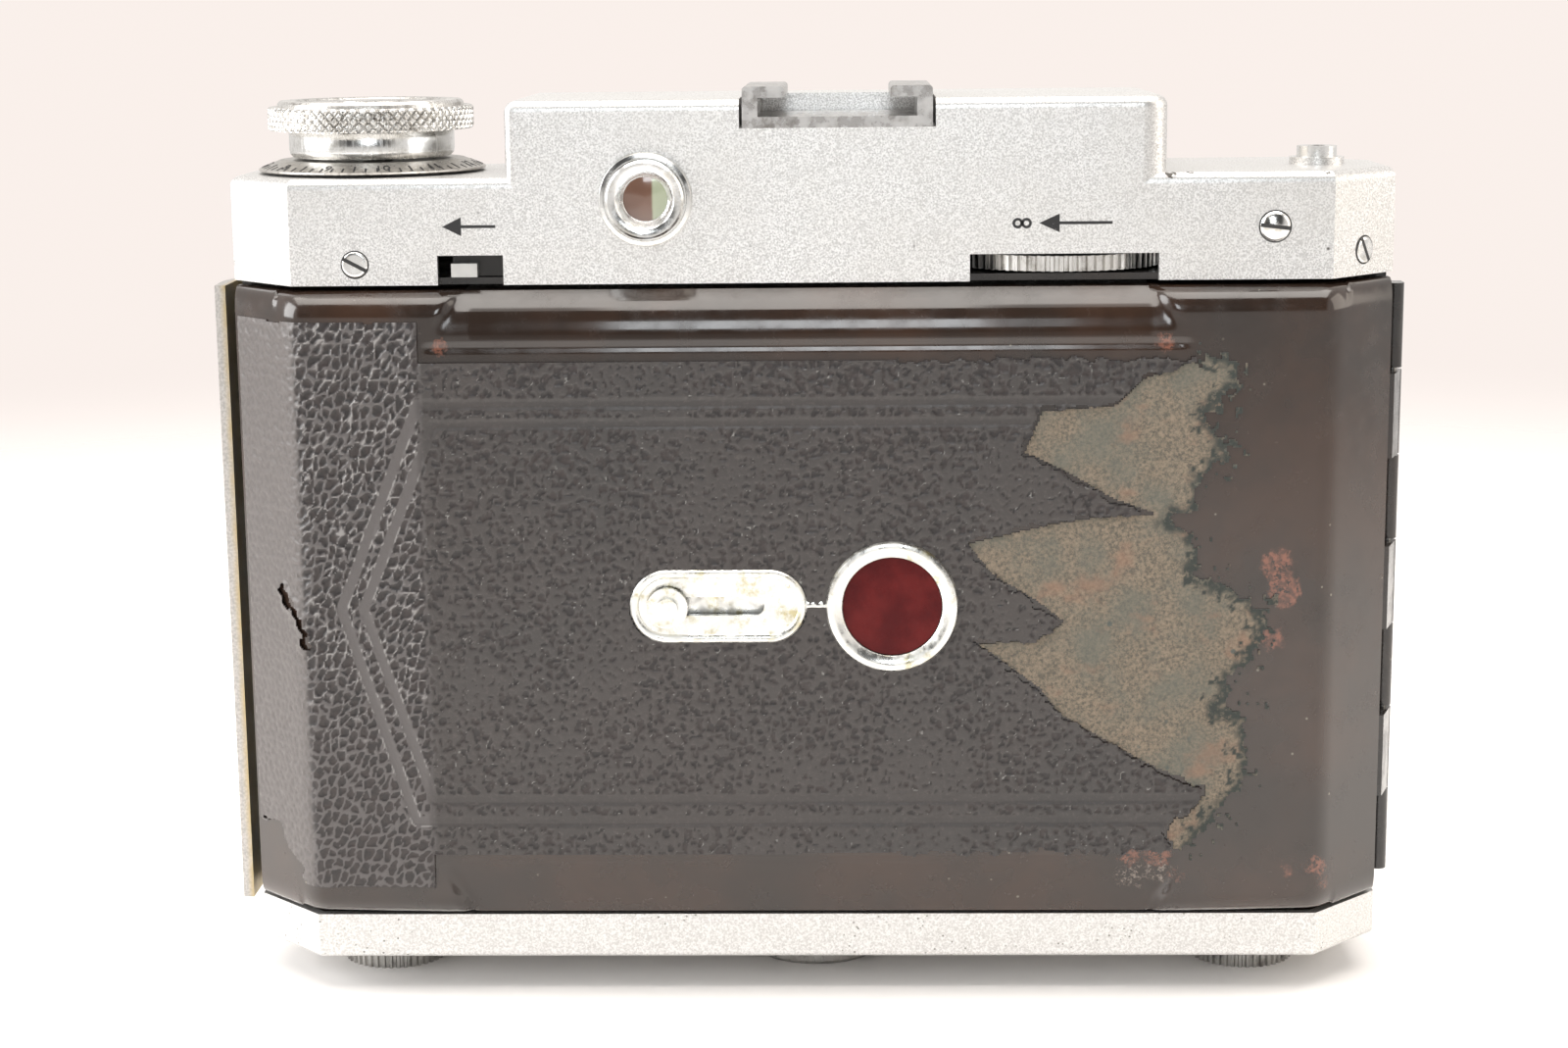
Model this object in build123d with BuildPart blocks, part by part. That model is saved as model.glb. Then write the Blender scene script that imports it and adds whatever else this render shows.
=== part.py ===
"""Folding rangefinder camera for 6 x 6 pictures on 120 roll film, built as an assembly.

Units are millimetres. +X runs to the right seen from behind the camera, +Y forward out of
the lens, +Z up. The origin is the centre of the tripod bush on the plane the camera stands on.
The camera is modelled closed, with the bed shut over the folded lens.
"""

import math
import os

from build123d import *

os.makedirs("parts", exist_ok=True)

# Covers: elongated octagon in plan
COVER_HALF = 70.1
BACK_HALF = 61.5
BACK_Y = -18.0
FRONT_Y = 12.0
CHAMFER = 8.6
PLATE_Z0 = 4.5
PLATE_Z1 = 10.1
COVER_Z0 = 88.0
SHOULDER_Z = 100.6
TOP_Z = 109.5
RAISED_X0 = -35.7
RAISED_X1 = 42.1
SKIN = 1.1

# Body between the covers
DECK_T = 1.6
DECK_LOW_Z = PLATE_Z1
DECK_TOP_Z = COVER_Z0 - DECK_T
WALL_Z0 = PLATE_Z1 + DECK_T
WALL_Z1 = DECK_TOP_Z
WALL = 1.6
BOX_HALF = 38.0
BOX_Y0 = -7.0
BOX_Y1 = 24.0
BOX_WALL = 1.5
AXIS_Z = 49.0
DECK_BACK_Y = -8.7
ROLLER_X = 37.6
ROLLER_Y = -9.6
GATE = 28.0

# Spools and winding
SPOOL_Y = -3.0
WIND_X = -53.8
KNOB_LEFT_X = -54.4
KNOB_RIGHT_X = 54.4

# Back door
DOOR_Z0 = 10.8
DOOR_Z1 = 87.4
DOOR_FACE_Y = -21.5
DOOR_T = 1.2
HIDE_T = 0.5
HINGE_X = 70.9
HINGE_Y = -7.0
HINGE_R = 1.1
HINGE_PIN_R = 0.5
HINGE_Z0 = 12.5
HINGE_PITCH = 10.6
KNUCKLE = 10.3

# Red window and its blind
WINDOW_X = 9.6
WINDOW_Z = 49.7
SLIDER_X = -17.2
SLIDER_Z = 49.8

# Bed and lens standard
BED_HINGE_Y = 25.0
BED_HINGE_Z = 12.5
STANDARD_Y0 = 3.0
STANDARD_Y1 = 4.5
REAR_PIN_Z = 40.0
FRONT_PIN_Z = 45.0
STRUT_PIVOT_Y = 23.8
STRUT_PIVOT_Z = 69.5

# Finder, shoe and controls on the cover
EYE_X = -19.2
EYE_Z = 98.0
SHOE_X = 3.4
FOCUS_X = 30.0
FOCUS_Y = -5.3
FOCUS_R = 13.0
RELEASE_X = 61.5
RELEASE_Y = -4.0


def octagon(inset):
    """Plan outline of the covers, moved inwards by inset."""
    side = COVER_HALF - inset
    flat = BACK_HALF - 0.4142 * inset
    low = BACK_Y + CHAMFER + 0.4142 * inset
    high = FRONT_Y - CHAMFER - 0.4142 * inset
    return [
        (-flat, BACK_Y + inset),
        (flat, BACK_Y + inset),
        (side, low),
        (side, high),
        (flat, FRONT_Y - inset),
        (-flat, FRONT_Y - inset),
        (-side, high),
        (-side, low),
    ]


def toothed(radius, depth, teeth):
    """Outline of a wheel with small pointed teeth."""
    points = []
    for i in range(teeth):
        for part, reach in ((0.0, radius), (0.35, radius), (0.5, radius - depth), (0.85, radius - depth)):
            turn = 2 * math.pi * (i + part) / teeth
            points.append((reach * math.cos(turn), reach * math.sin(turn)))
    return points


def box_at(x0, x1, y0, y1, z0, z1):
    """Solid box between two corners, for use outside a builder block."""
    block = Box(x1 - x0, y1 - y0, z1 - z0, mode=Mode.PRIVATE)
    return Pos((x0 + x1) / 2, (y0 + y1) / 2, (z0 + z1) / 2) * block


# ---------------------------------------------------------------- top cover
def raised_part():
    """Raised middle of the top cover, solid, with its corners and rim rounded."""
    block = box_at(RAISED_X0, RAISED_X1, BACK_Y, FRONT_Y, COVER_Z0 + 2, TOP_Z)
    uprights = block.edges().filter_by(Axis.Z)
    block = fillet(uprights.filter_by_position(Axis.X, RAISED_X0 - 0.1, RAISED_X0 + 0.1), radius=1.0)
    uprights = block.edges().filter_by(Axis.Z)
    block = fillet(uprights.filter_by_position(Axis.X, RAISED_X1 - 0.1, RAISED_X1 + 0.1), radius=3.0)
    return fillet(block.faces().sort_by(Axis.Z)[-1].edges(), radius=1.3)


RAISED_PART = raised_part()

with BuildPart() as top_cover:
    with BuildSketch(Plane.XY.offset(COVER_Z0)):
        Polygon(*octagon(0), align=None)
    extrude(amount=SHOULDER_Z - COVER_Z0)
    shoulder = top_cover.faces().sort_by(Axis.Z)[-1]
    fillet(shoulder.edges(), radius=1.3)
    add(RAISED_PART)
    with BuildSketch(Plane.XY.offset(COVER_Z0)):
        Polygon(*octagon(SKIN), align=None)
    extrude(amount=SHOULDER_Z - SKIN - COVER_Z0, mode=Mode.SUBTRACT)
    with BuildSketch(Plane.XY.offset(SHOULDER_Z - SKIN)):
        Polygon(
            (RAISED_X0 + SKIN, BACK_Y + SKIN),
            (RAISED_X1 - SKIN, BACK_Y + SKIN),
            (RAISED_X1 - SKIN, FRONT_Y - SKIN),
            (RAISED_X0 + SKIN, FRONT_Y - SKIN),
            align=None,
        )
    extrude(amount=TOP_Z - SHOULDER_Z, mode=Mode.SUBTRACT)
    # tray sunk in the raised part's rear edge, which takes the shoe
    add(box_at(SHOE_X - 12.7, SHOE_X + 12.7, BACK_Y + SKIN, 2.4, 104.8, TOP_Z - SKIN))
    add(box_at(SHOE_X - 11.5, SHOE_X + 11.5, BACK_Y - 0.5, 1.0, 106.1, TOP_Z + 1), mode=Mode.SUBTRACT)
    # windows open at the back wall's lower edge
    add(box_at(18.9, 41.1, BACK_Y - 1, BACK_Y + 2, COVER_Z0 - 1, 91.2), mode=Mode.SUBTRACT)
    add(box_at(-44.0, -36.2, BACK_Y - 1, BACK_Y + 2, COVER_Z0 - 1, 91.5), mode=Mode.SUBTRACT)
    with BuildSketch(Plane.XZ.offset(-BACK_Y - 3)):
        with Locations((EYE_X, EYE_Z)):
            Circle(4.2)
    extrude(amount=4, mode=Mode.SUBTRACT)
    with BuildSketch(Plane.XZ.offset(-FRONT_Y - 1)):
        with Locations((EYE_X, 99.0)):
            Rectangle(13.0, 9.0)
        with Locations((24.0, 99.0)):
            Circle(3.0)
    extrude(amount=3, mode=Mode.SUBTRACT)
    with BuildSketch(Plane.XY.offset(SHOULDER_Z - 3)):
        with Locations((WIND_X, SPOOL_Y)):
            Circle(3.2)
        with Locations((RELEASE_X, RELEASE_Y)):
            Circle(2.6)
    extrude(amount=5, mode=Mode.SUBTRACT)
top_cover.part.label = "top_cover"
export_step(top_cover.part, "parts/top_cover.step")

# ---------------------------------------------------------------- accessory shoe
with BuildPart() as shoe:
    with BuildSketch(Plane.XZ.offset(-BACK_Y)):
        Polygon(
            (SHOE_X - 11.15, 106.1),
            (SHOE_X + 11.15, 106.1),
            (SHOE_X + 11.15, 110.9),
            (SHOE_X + 6.2, 110.9),
            (SHOE_X + 6.2, 109.6),
            (SHOE_X + 9.35, 109.6),
            (SHOE_X + 9.35, 107.4),
            (SHOE_X - 9.35, 107.4),
            (SHOE_X - 9.35, 109.6),
            (SHOE_X - 6.2, 109.6),
            (SHOE_X - 6.2, 110.9),
            (SHOE_X - 11.15, 110.9),
            align=None,
        )
    extrude(amount=-18.6)
    shoe_corners = shoe.edges().filter_by(Axis.Y).filter_by_position(Axis.Z, 110.8, 111.0)
    fillet(shoe_corners, radius=0.45)
shoe.part.label = "shoe"
export_step(shoe.part, "parts/shoe.step")

# ---------------------------------------------------------------- finder
with BuildPart() as eyepiece_ring:
    with BuildSketch(Plane.XZ.offset(-BACK_Y)):
        with Locations((EYE_X, EYE_Z)):
            Circle(5.55)
    extrude(amount=1.1)
    with BuildSketch(Plane.XZ.offset(-BACK_Y + 1.1)):
        with Locations((EYE_X, EYE_Z)):
            Circle(4.65)
    extrude(amount=1.1)
    with BuildSketch(Plane.XZ.offset(-BACK_Y)):
        with Locations((EYE_X, EYE_Z)):
            Circle(4.1)
    extrude(amount=-2.5)
    with BuildSketch(Plane.XZ.offset(-BACK_Y + 2.2)):
        with Locations((EYE_X, EYE_Z)):
            Circle(3.35)
    extrude(amount=-1.6, taper=15, mode=Mode.SUBTRACT)
    with BuildSketch(Plane.XZ.offset(-BACK_Y + 2.2)):
        with Locations((EYE_X, EYE_Z)):
            Circle(2.6)
    extrude(amount=-6, mode=Mode.SUBTRACT)
eyepiece_ring.part.label = "eyepiece_ring"
export_step(eyepiece_ring.part, "parts/eyepiece_ring.step")

with BuildPart() as eyepiece_glass:
    with BuildSketch(Plane.XZ.offset(-BACK_Y + 0.5)):
        with Locations((EYE_X, EYE_Z)):
            Circle(2.6)
    extrude(amount=-1.2)
eyepiece_glass.part.label = "eyepiece_glass"
export_step(eyepiece_glass.part, "parts/eyepiece_glass.step")

with BuildPart() as finder_frames:
    with BuildSketch(Plane.XZ.offset(-FRONT_Y)):
        with Locations((EYE_X, 99.0)):
            RectangleRounded(16.0, 12.0, 1.5)
            Rectangle(11.4, 7.6, mode=Mode.SUBTRACT)
        with Locations((24.0, 99.0)):
            Circle(4.6)
            Circle(2.6, mode=Mode.SUBTRACT)
    extrude(amount=-1.0)
finder_frames.part.label = "finder_frames"
export_step(finder_frames.part, "parts/finder_frames.step")

with BuildPart() as finder_glasses:
    with BuildSketch(Plane.XZ.offset(-FRONT_Y)):
        with Locations((EYE_X, 99.0)):
            Rectangle(12.8, 8.8)
        with Locations((24.0, 99.0)):
            Circle(2.9)
    extrude(amount=1.0)
finder_glasses.part.label = "finder_glasses"
export_step(finder_glasses.part, "parts/finder_glasses.step")

# ---------------------------------------------------------------- screws in the cover
with BuildPart() as cover_screws:
    for x, z, r, h in ((-53.8, 90.5, 1.5, 0.35), (54.6, 94.2, 1.75, 0.7)):
        with BuildSketch(Plane.XZ.offset(-BACK_Y)):
            with Locations((x, z)):
                Circle(r)
        extrude(amount=h)
        with BuildSketch(Plane.XZ.offset(-BACK_Y + h)):
            with Locations((x, z)):
                Rectangle(2.2 * r, 0.45, rotation=8)
        extrude(amount=-0.3, mode=Mode.SUBTRACT)
    corner = Plane(origin=(65.8, -13.7, 91.0), x_dir=(0.7071, 0.7071, 0), z_dir=(0.7071, -0.7071, 0))
    with BuildSketch(corner):
        Circle(1.55)
    extrude(amount=0.5)
    with BuildSketch(corner.offset(0.5)):
        Rectangle(3.4, 0.45, rotation=40)
    extrude(amount=-0.3, mode=Mode.SUBTRACT)
cover_screws.part.label = "cover_screws"
export_step(cover_screws.part, "parts/cover_screws.step")

# ---------------------------------------------------------------- bottom plate and tripod bush
with BuildPart() as bottom_plate:
    with BuildSketch(Plane.XY.offset(PLATE_Z0)):
        Polygon(*octagon(0), align=None)
    extrude(amount=PLATE_Z1 - PLATE_Z0)
    rim = bottom_plate.faces().sort_by(Axis.Z)[0]
    fillet(rim.edges(), radius=0.7)
    with BuildSketch(Plane.XY.offset(PLATE_Z0 + 1.2)):
        Polygon(*octagon(1.2), align=None)
    extrude(amount=PLATE_Z1, mode=Mode.SUBTRACT)
    with BuildSketch(Plane.XY.offset(PLATE_Z0 - 1)):
        with Locations((KNOB_LEFT_X, SPOOL_Y), (KNOB_RIGHT_X, SPOOL_Y)):
            Circle(2.6)
        Circle(5.2)
    extrude(amount=3, mode=Mode.SUBTRACT)
bottom_plate.part.label = "bottom_plate"
export_step(bottom_plate.part, "parts/bottom_plate.step")

with BuildPart() as tripod_bush:
    with BuildSketch(Plane.XY):
        Circle(8.6)
    extrude(amount=PLATE_Z0)
    bush_rim = tripod_bush.faces().sort_by(Axis.Z)[0]
    chamfer(bush_rim.edges(), length=0.5)
    with BuildSketch(Plane.XY.offset(PLATE_Z0)):
        Circle(5.0)
    extrude(amount=PLATE_Z1 - 0.8 - PLATE_Z0)
    with BuildSketch(Plane.XY):
        Circle(3.175)
    extrude(amount=8.0, mode=Mode.SUBTRACT)
tripod_bush.part.label = "tripod_bush"
export_step(tripod_bush.part, "parts/tripod_bush.step")

# ---------------------------------------------------------------- body between the covers
DECK_PLAN = [
    (-68.2, DECK_BACK_Y),
    (68.2, DECK_BACK_Y),
    (68.2, -5.4),
    (COVER_HALF, -5.4),
    (COVER_HALF, FRONT_Y - CHAMFER),
    (BACK_HALF, FRONT_Y),
    (-BACK_HALF, FRONT_Y),
    (-COVER_HALF, FRONT_Y - CHAMFER),
    (-COVER_HALF, -5.4),
    (-68.2, -5.4),
]

with BuildPart() as top_deck:
    with BuildSketch(Plane.XY.offset(DECK_TOP_Z)):
        Polygon(*DECK_PLAN, align=None)
    extrude(amount=DECK_T)
    with BuildSketch(Plane.XY.offset(COVER_Z0)):
        Polygon(*octagon(SKIN + 0.1), align=None)
    extrude(amount=0.8)
    with BuildSketch(Plane.XY.offset(DECK_TOP_Z - 1)):
        with Locations((WIND_X, SPOOL_Y)):
            Circle(2.8)
    extrude(amount=4, mode=Mode.SUBTRACT)
top_deck.part.label = "top_deck"
export_step(top_deck.part, "parts/top_deck.step")

with BuildPart() as bottom_deck:
    with BuildSketch(Plane.XY.offset(DECK_LOW_Z)):
        Polygon(*DECK_PLAN, align=None)
    extrude(amount=DECK_T)
    with BuildSketch(Plane.XY.offset(DECK_LOW_Z)):
        Polygon(*octagon(1.3), align=None)
    extrude(amount=-0.8)
    with BuildSketch(Plane.XY.offset(DECK_LOW_Z - 2)):
        with Locations((KNOB_LEFT_X, SPOOL_Y), (KNOB_RIGHT_X, SPOOL_Y)):
            Circle(2.6)
    extrude(amount=5, mode=Mode.SUBTRACT)
bottom_deck.part.label = "bottom_deck"
export_step(bottom_deck.part, "parts/bottom_deck.step")

RIGHT_WALL = [
    (COVER_HALF, -5.4),
    (COVER_HALF, FRONT_Y - CHAMFER),
    (BACK_HALF, FRONT_Y),
    (BOX_HALF, FRONT_Y),
    (BOX_HALF, FRONT_Y - WALL),
    (BACK_HALF - 0.66, FRONT_Y - WALL),
    (COVER_HALF - WALL, FRONT_Y - CHAMFER - 0.66),
    (COVER_HALF - WALL, -5.4),
]

with BuildPart() as chamber_right:
    with BuildSketch(Plane.XY.offset(WALL_Z0)):
        Polygon(*RIGHT_WALL, align=None)
    extrude(amount=WALL_Z1 - WALL_Z0)
chamber_right.part.label = "chamber_right"
export_step(chamber_right.part, "parts/chamber_right.step")

with BuildPart() as chamber_left:
    with BuildSketch(Plane.XY.offset(WALL_Z0)):
        Polygon(*[(-x, y) for x, y in RIGHT_WALL], align=None)
    extrude(amount=WALL_Z1 - WALL_Z0)
chamber_left.part.label = "chamber_left"
export_step(chamber_left.part, "parts/chamber_left.step")

with BuildPart() as light_box:
    add(box_at(-BOX_HALF, BOX_HALF, BOX_Y0, BOX_Y1, WALL_Z0, WALL_Z1))
    box_edges = light_box.edges().filter_by(Axis.Y)
    fillet(box_edges, radius=1.4)
    inner_half = BOX_HALF - BOX_WALL
    add(
        box_at(
            -inner_half,
            inner_half,
            BOX_Y0 + BOX_WALL,
            BOX_Y1 + 1,
            WALL_Z0 + BOX_WALL,
            WALL_Z1 - BOX_WALL,
        ),
        mode=Mode.SUBTRACT,
    )
    add(box_at(-GATE, GATE, BOX_Y0 - 1, 0, AXIS_Z - GATE, AXIS_Z + GATE), mode=Mode.SUBTRACT)
    with BuildSketch(Plane.XY.offset(WALL_Z1 - 3)):
        with Locations((-20.0, 18.0)):
            Circle(1.8)
    extrude(amount=5, mode=Mode.SUBTRACT)
    # ears that hold the film rollers
    for sign in (-1, 1):
        for z0 in (13.2, 82.9):
            ear_x0 = min(sign * 35.4, sign * 39.8)
            add(box_at(ear_x0, ear_x0 + 4.4, -11.6, BOX_Y0, z0, z0 + 2))
            with BuildSketch(Plane.XY.offset(z0 - 1)):
                with Locations((sign * ROLLER_X, ROLLER_Y)):
                    Circle(0.66)
            extrude(amount=4, mode=Mode.SUBTRACT)
    # the floor's front edge is cut back for the bed's knuckle
    add(box_at(-33.8, 33.8, 23.5, BOX_Y1 + 1, WALL_Z0 - 1, WALL_Z0 + 4), mode=Mode.SUBTRACT)
    # notches in the same edge, clear of the rear struts' ends
    add(box_at(33.8, 35.6, 21.4, BOX_Y1 + 1, WALL_Z0 - 1, WALL_Z0 + 4), mode=Mode.SUBTRACT)
    add(box_at(-35.6, -33.8, 21.4, BOX_Y1 + 1, WALL_Z0 - 1, WALL_Z0 + 4), mode=Mode.SUBTRACT)
light_box.part.label = "light_box"
export_step(light_box.part, "parts/light_box.step")

with BuildPart() as hide_front:
    for sign in (-1, 1):
        middle = sign * (BOX_HALF + 0.6 + BACK_HALF) / 2
        with BuildSketch(Plane.XZ.offset(-FRONT_Y)):
            with Locations((middle, AXIS_Z + 0.1)):
                RectangleRounded(BACK_HALF - BOX_HALF - 0.6, 72.2, 1.0)
        extrude(amount=-HIDE_T)
hide_front.part.label = "hide_front"
export_step(hide_front.part, "parts/hide_front.step")

# ---------------------------------------------------------------- film carriage
with BuildPart() as guide_pins:
    with BuildSketch(Plane.XZ.offset(-BOX_Y0)):
        with Locations((-32.5, 18.0), (32.5, 18.0), (-32.5, 80.0), (32.5, 80.0)):
            Circle(0.9)
    extrude(amount=8.2)
guide_pins.part.label = "guide_pins"
export_step(guide_pins.part, "parts/guide_pins.step")

with BuildPart() as film_gate:
    with BuildSketch(Plane.XZ.offset(8.0)):
        with Locations((0, AXIS_Z)):
            Rectangle(69.0, 66.0)
            Rectangle(2 * GATE, 2 * GATE, mode=Mode.SUBTRACT)
        with Locations((-32.5, 18.0), (32.5, 18.0), (-32.5, 80.0), (32.5, 80.0)):
            Circle(0.98, mode=Mode.SUBTRACT)
    extrude(amount=1.5)
film_gate.part.label = "film_gate"
export_step(film_gate.part, "parts/film_gate.step")

with BuildPart() as pressure_plate:
    add(box_at(-30.0, 30.0, -10.8, -9.8, 17.4, 80.6))
    add(box_at(-30.0, 30.0, -9.8, -9.5, 78.8, 80.6))
    add(box_at(-30.0, 30.0, -9.8, -9.5, 17.4, 19.2))
    for z in (30.0, AXIS_Z, 68.0):
        add(box_at(-24.0, 24.0, -11.1, -10.8, z - 2, z + 2))
pressure_plate.part.label = "pressure_plate"
export_step(pressure_plate.part, "parts/pressure_plate.step")

for side, roller_x in (("left", -ROLLER_X), ("right", ROLLER_X)):
    with BuildPart() as film_roller:
        with BuildSketch(Plane.XY.offset(15.5)):
            with Locations((roller_x, ROLLER_Y)):
                Circle(1.6)
        extrude(amount=82.6 - 15.5)
        with BuildSketch(Plane.XY.offset(13.4)):
            with Locations((roller_x, ROLLER_Y)):
                Circle(0.6)
        extrude(amount=84.7 - 13.4)
    film_roller.part.label = "roller_" + side
    export_step(film_roller.part, "parts/roller_" + side + ".step")

# ---------------------------------------------------------------- focusing wheel and its post
with BuildPart() as focus_post:
    with BuildSketch(Plane.XY.offset(COVER_Z0 + 0.8)):
        with Locations((FOCUS_X, FOCUS_Y)):
            Circle(2.0)
    extrude(amount=2.4)
    with BuildSketch(Plane.XY.offset(COVER_Z0 + 3.2)):
        with Locations((FOCUS_X, FOCUS_Y)):
            Circle(3.2)
    extrude(amount=0.9)
focus_post.part.label = "focus_post"
export_step(focus_post.part, "parts/focus_post.step")

with BuildPart() as focus_wheel:
    with BuildSketch(Plane.XY.offset(89.1)):
        with Locations((FOCUS_X, FOCUS_Y)):
            Polygon(*toothed(FOCUS_R, 0.45, 74), align=None)
            Circle(2.06, mode=Mode.SUBTRACT)
    extrude(amount=1.8)
focus_wheel.part.label = "focus_wheel"
export_step(focus_wheel.part, "parts/focus_wheel.step")

# ---------------------------------------------------------------- small controls on the cover
with BuildPart() as release_nub:
    add(box_at(-42.3, -39.2, BACK_Y - 0.6, BACK_Y + 1.2, 89.0, 90.6))
    add(box_at(-42.3, -33.0, BACK_Y + 1.2, BACK_Y + 2.2, 89.0, 93.0))
release_nub.part.label = "release_nub"
export_step(release_nub.part, "parts/release_nub.step")

with BuildPart() as release_collar:
    with BuildSketch(Plane.XY.offset(SHOULDER_Z)):
        with Locations((RELEASE_X, RELEASE_Y)):
            Circle(3.3)
            Circle(2.45, mode=Mode.SUBTRACT)
    extrude(amount=0.9)
release_collar.part.label = "release_collar"
export_step(release_collar.part, "parts/release_collar.step")

with BuildPart() as release_button:
    with BuildSketch(Plane.XY.offset(SHOULDER_Z - 4)):
        with Locations((RELEASE_X, RELEASE_Y)):
            Circle(2.4)
    extrude(amount=6.2)
    with BuildSketch(Plane.XY.offset(SHOULDER_Z + 0.4)):
        with Locations((RELEASE_X, RELEASE_Y)):
            Circle(1.0)
    extrude(amount=2, mode=Mode.SUBTRACT)
release_button.part.label = "release_button"
export_step(release_button.part, "parts/release_button.step")

# ---------------------------------------------------------------- winding knob
with BuildPart() as wind_shaft:
    with BuildSketch(Plane.XY.offset(83.4)):
        with Locations((WIND_X, SPOOL_Y)):
            Circle(2.4)
    extrude(amount=105.8 - 83.4)
    add(box_at(WIND_X - 3.4, WIND_X + 3.4, SPOOL_Y - 0.7, SPOOL_Y + 0.7, 81.0, 83.4))
wind_shaft.part.label = "wind_shaft"
export_step(wind_shaft.part, "parts/wind_shaft.step")

with BuildPart() as wind_drum:
    with BuildSketch(Plane.XY.offset(102.5)):
        with Locations((WIND_X, SPOOL_Y)):
            Circle(10.05)
            Circle(2.42, mode=Mode.SUBTRACT)
    extrude(amount=105.8 - 102.5)
wind_drum.part.label = "wind_drum"
export_step(wind_drum.part, "parts/wind_drum.step")

with BuildPart() as wind_knob:
    with BuildSketch(Plane.XY.offset(105.8)):
        with Locations((WIND_X, SPOOL_Y)):
            Polygon(*toothed(12.5, 0.3, 90), align=None)
    extrude(amount=2.8)
    with BuildSketch(Plane.XY.offset(108.6)):
        with Locations((WIND_X, SPOOL_Y)):
            Circle(11.3)
    extrude(amount=0.7)
    knob_top = wind_knob.faces().sort_by(Axis.Z)[-1]
    fillet(knob_top.edges(), radius=0.4)
wind_knob.part.label = "wind_knob"
export_step(wind_knob.part, "parts/wind_knob.step")

with BuildPart() as counter_dial:
    with BuildSketch(Plane.XY.offset(100.9)):
        with Locations((WIND_X, SPOOL_Y)):
            Circle(13.85)
    with BuildSketch(Plane.XY.offset(102.2)):
        with Locations((WIND_X, SPOOL_Y)):
            Circle(11.3)
    loft()
    with BuildSketch(Plane.XY.offset(100.8)):
        with Locations((WIND_X, SPOOL_Y)):
            Circle(2.5)
    extrude(amount=2, mode=Mode.SUBTRACT)
counter_dial.part.label = "counter_dial"
export_step(counter_dial.part, "parts/counter_dial.step")

# ---------------------------------------------------------------- spool knobs under the body
for side, knob_x in (("left", KNOB_LEFT_X), ("right", KNOB_RIGHT_X)):
    with BuildPart() as spool_knob:
        with BuildSketch(Plane.XY):
            with Locations((knob_x, SPOOL_Y)):
                Polygon(*toothed(6.65, 0.3, 44), align=None)
        extrude(amount=4.2)
        with BuildSketch(Plane.XY.offset(4.2)):
            with Locations((knob_x, SPOOL_Y)):
                Circle(2.3)
        extrude(amount=9.8)
        with BuildSketch(Plane.XY):
            with Locations((knob_x, SPOOL_Y)):
                Circle(5.2)
        extrude(amount=0.5, mode=Mode.SUBTRACT)
    spool_knob.part.label = "spool_knob_" + side
    export_step(spool_knob.part, "parts/spool_knob_" + side + ".step")

with BuildPart() as spool_pivot:
    with BuildSketch(Plane.XY.offset(83.8)):
        with Locations((KNOB_RIGHT_X, SPOOL_Y)):
            Circle(2.3)
    extrude(amount=DECK_TOP_Z - 83.8)
spool_pivot.part.label = "spool_pivot"
export_step(spool_pivot.part, "parts/spool_pivot.step")

# ---------------------------------------------------------------- back door
DOOR_PLAN = [
    (-69.6, -9.0),
    (-69.6, -12.3),
    (-61.2, -20.7),
    (-45.5, DOOR_FACE_Y),
    (44.6, DOOR_FACE_Y),
    (61.2, -20.7),
    (69.6, -12.3),
    (69.6, -9.0),
]
DOOR_HOLLOW = [
    (-68.4, -8.9),
    (-68.4, -11.8),
    (-60.7, -19.5),
    (-45.5, DOOR_FACE_Y + DOOR_T),
    (44.6, DOOR_FACE_Y + DOOR_T),
    (60.7, -19.5),
    (68.4, -11.8),
    (68.4, -8.9),
]


def dip(x0, x1, x2, x3, profile):
    """Wedge cut from the door's middle: x0 to x1 wide at the face, x2 to x3 at the door's edge."""
    face_z = profile[0][1]
    edge_z = profile[-1][1]
    front = Plane.XZ.offset(30) * Polygon((x0, face_z), (x1, face_z), (x3, edge_z), (x2, edge_z), align=None)
    side = Plane.YZ.offset(-60) * Polygon(*profile, (-30, edge_z), (-30, face_z), align=None)
    return extrude(front, amount=-20, dir=(0, -1, 0)) & extrude(side, amount=120, dir=(1, 0, 0))


UPPER = [(DOOR_FACE_Y, 80.8), (-20.9, 83.0), (-19.9, 85.0), (-18.2, DOOR_Z1 + 0.1)]
LOWER = [(DOOR_FACE_Y, 18.6), (-20.8, 15.6), (-18.9, DOOR_Z0 - 0.1)]


def door_solid():
    """The pressed shell: a shallow pan with folded ends, rounded rims and a dipped middle."""
    z_axis = (0, 0, 1)
    pan = extrude(Plane.XY.offset(DOOR_Z0) * Polygon(*DOOR_PLAN, align=None), amount=DOOR_Z1 - DOOR_Z0, dir=z_axis)
    folds = pan.edges().filter_by(Axis.Z).filter_by_position(Axis.Y, -20.8, -20.6)
    pan = fillet(folds, radius=2.0)
    turns = pan.edges().filter_by(Axis.Z).filter_by_position(Axis.Y, -12.4, -12.2)
    pan = fillet(turns, radius=1.5)
    rims = [e for e in pan.edges() if abs(e.center().Z - AXIS_Z) > 38 and e.center().Y < -9.01]
    pan = fillet(rims, radius=2.4)
    hollow = extrude(
        Plane.XY.offset(DOOR_Z0 + DOOR_T) * Polygon(*DOOR_HOLLOW, align=None),
        amount=DOOR_Z1 - DOOR_Z0 - 2 * DOOR_T,
        dir=z_axis,
    )
    deeper = 1.35
    upper_in = [(y + deeper, z - 0.6) for y, z in UPPER]
    lower_in = [(y + deeper, z + 0.6) for y, z in LOWER]
    hollow = hollow - dip(-46.9, 46.0, -43.1, 43.0, upper_in) - dip(-46.9, 46.0, -43.1, 43.0, lower_in)
    pan = pan - dip(-45.5, 44.6, -41.7, 41.6, UPPER) - dip(-45.5, 44.6, -41.7, 41.6, LOWER)
    return pan - hollow


DOOR_SOLID = door_solid()

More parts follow.
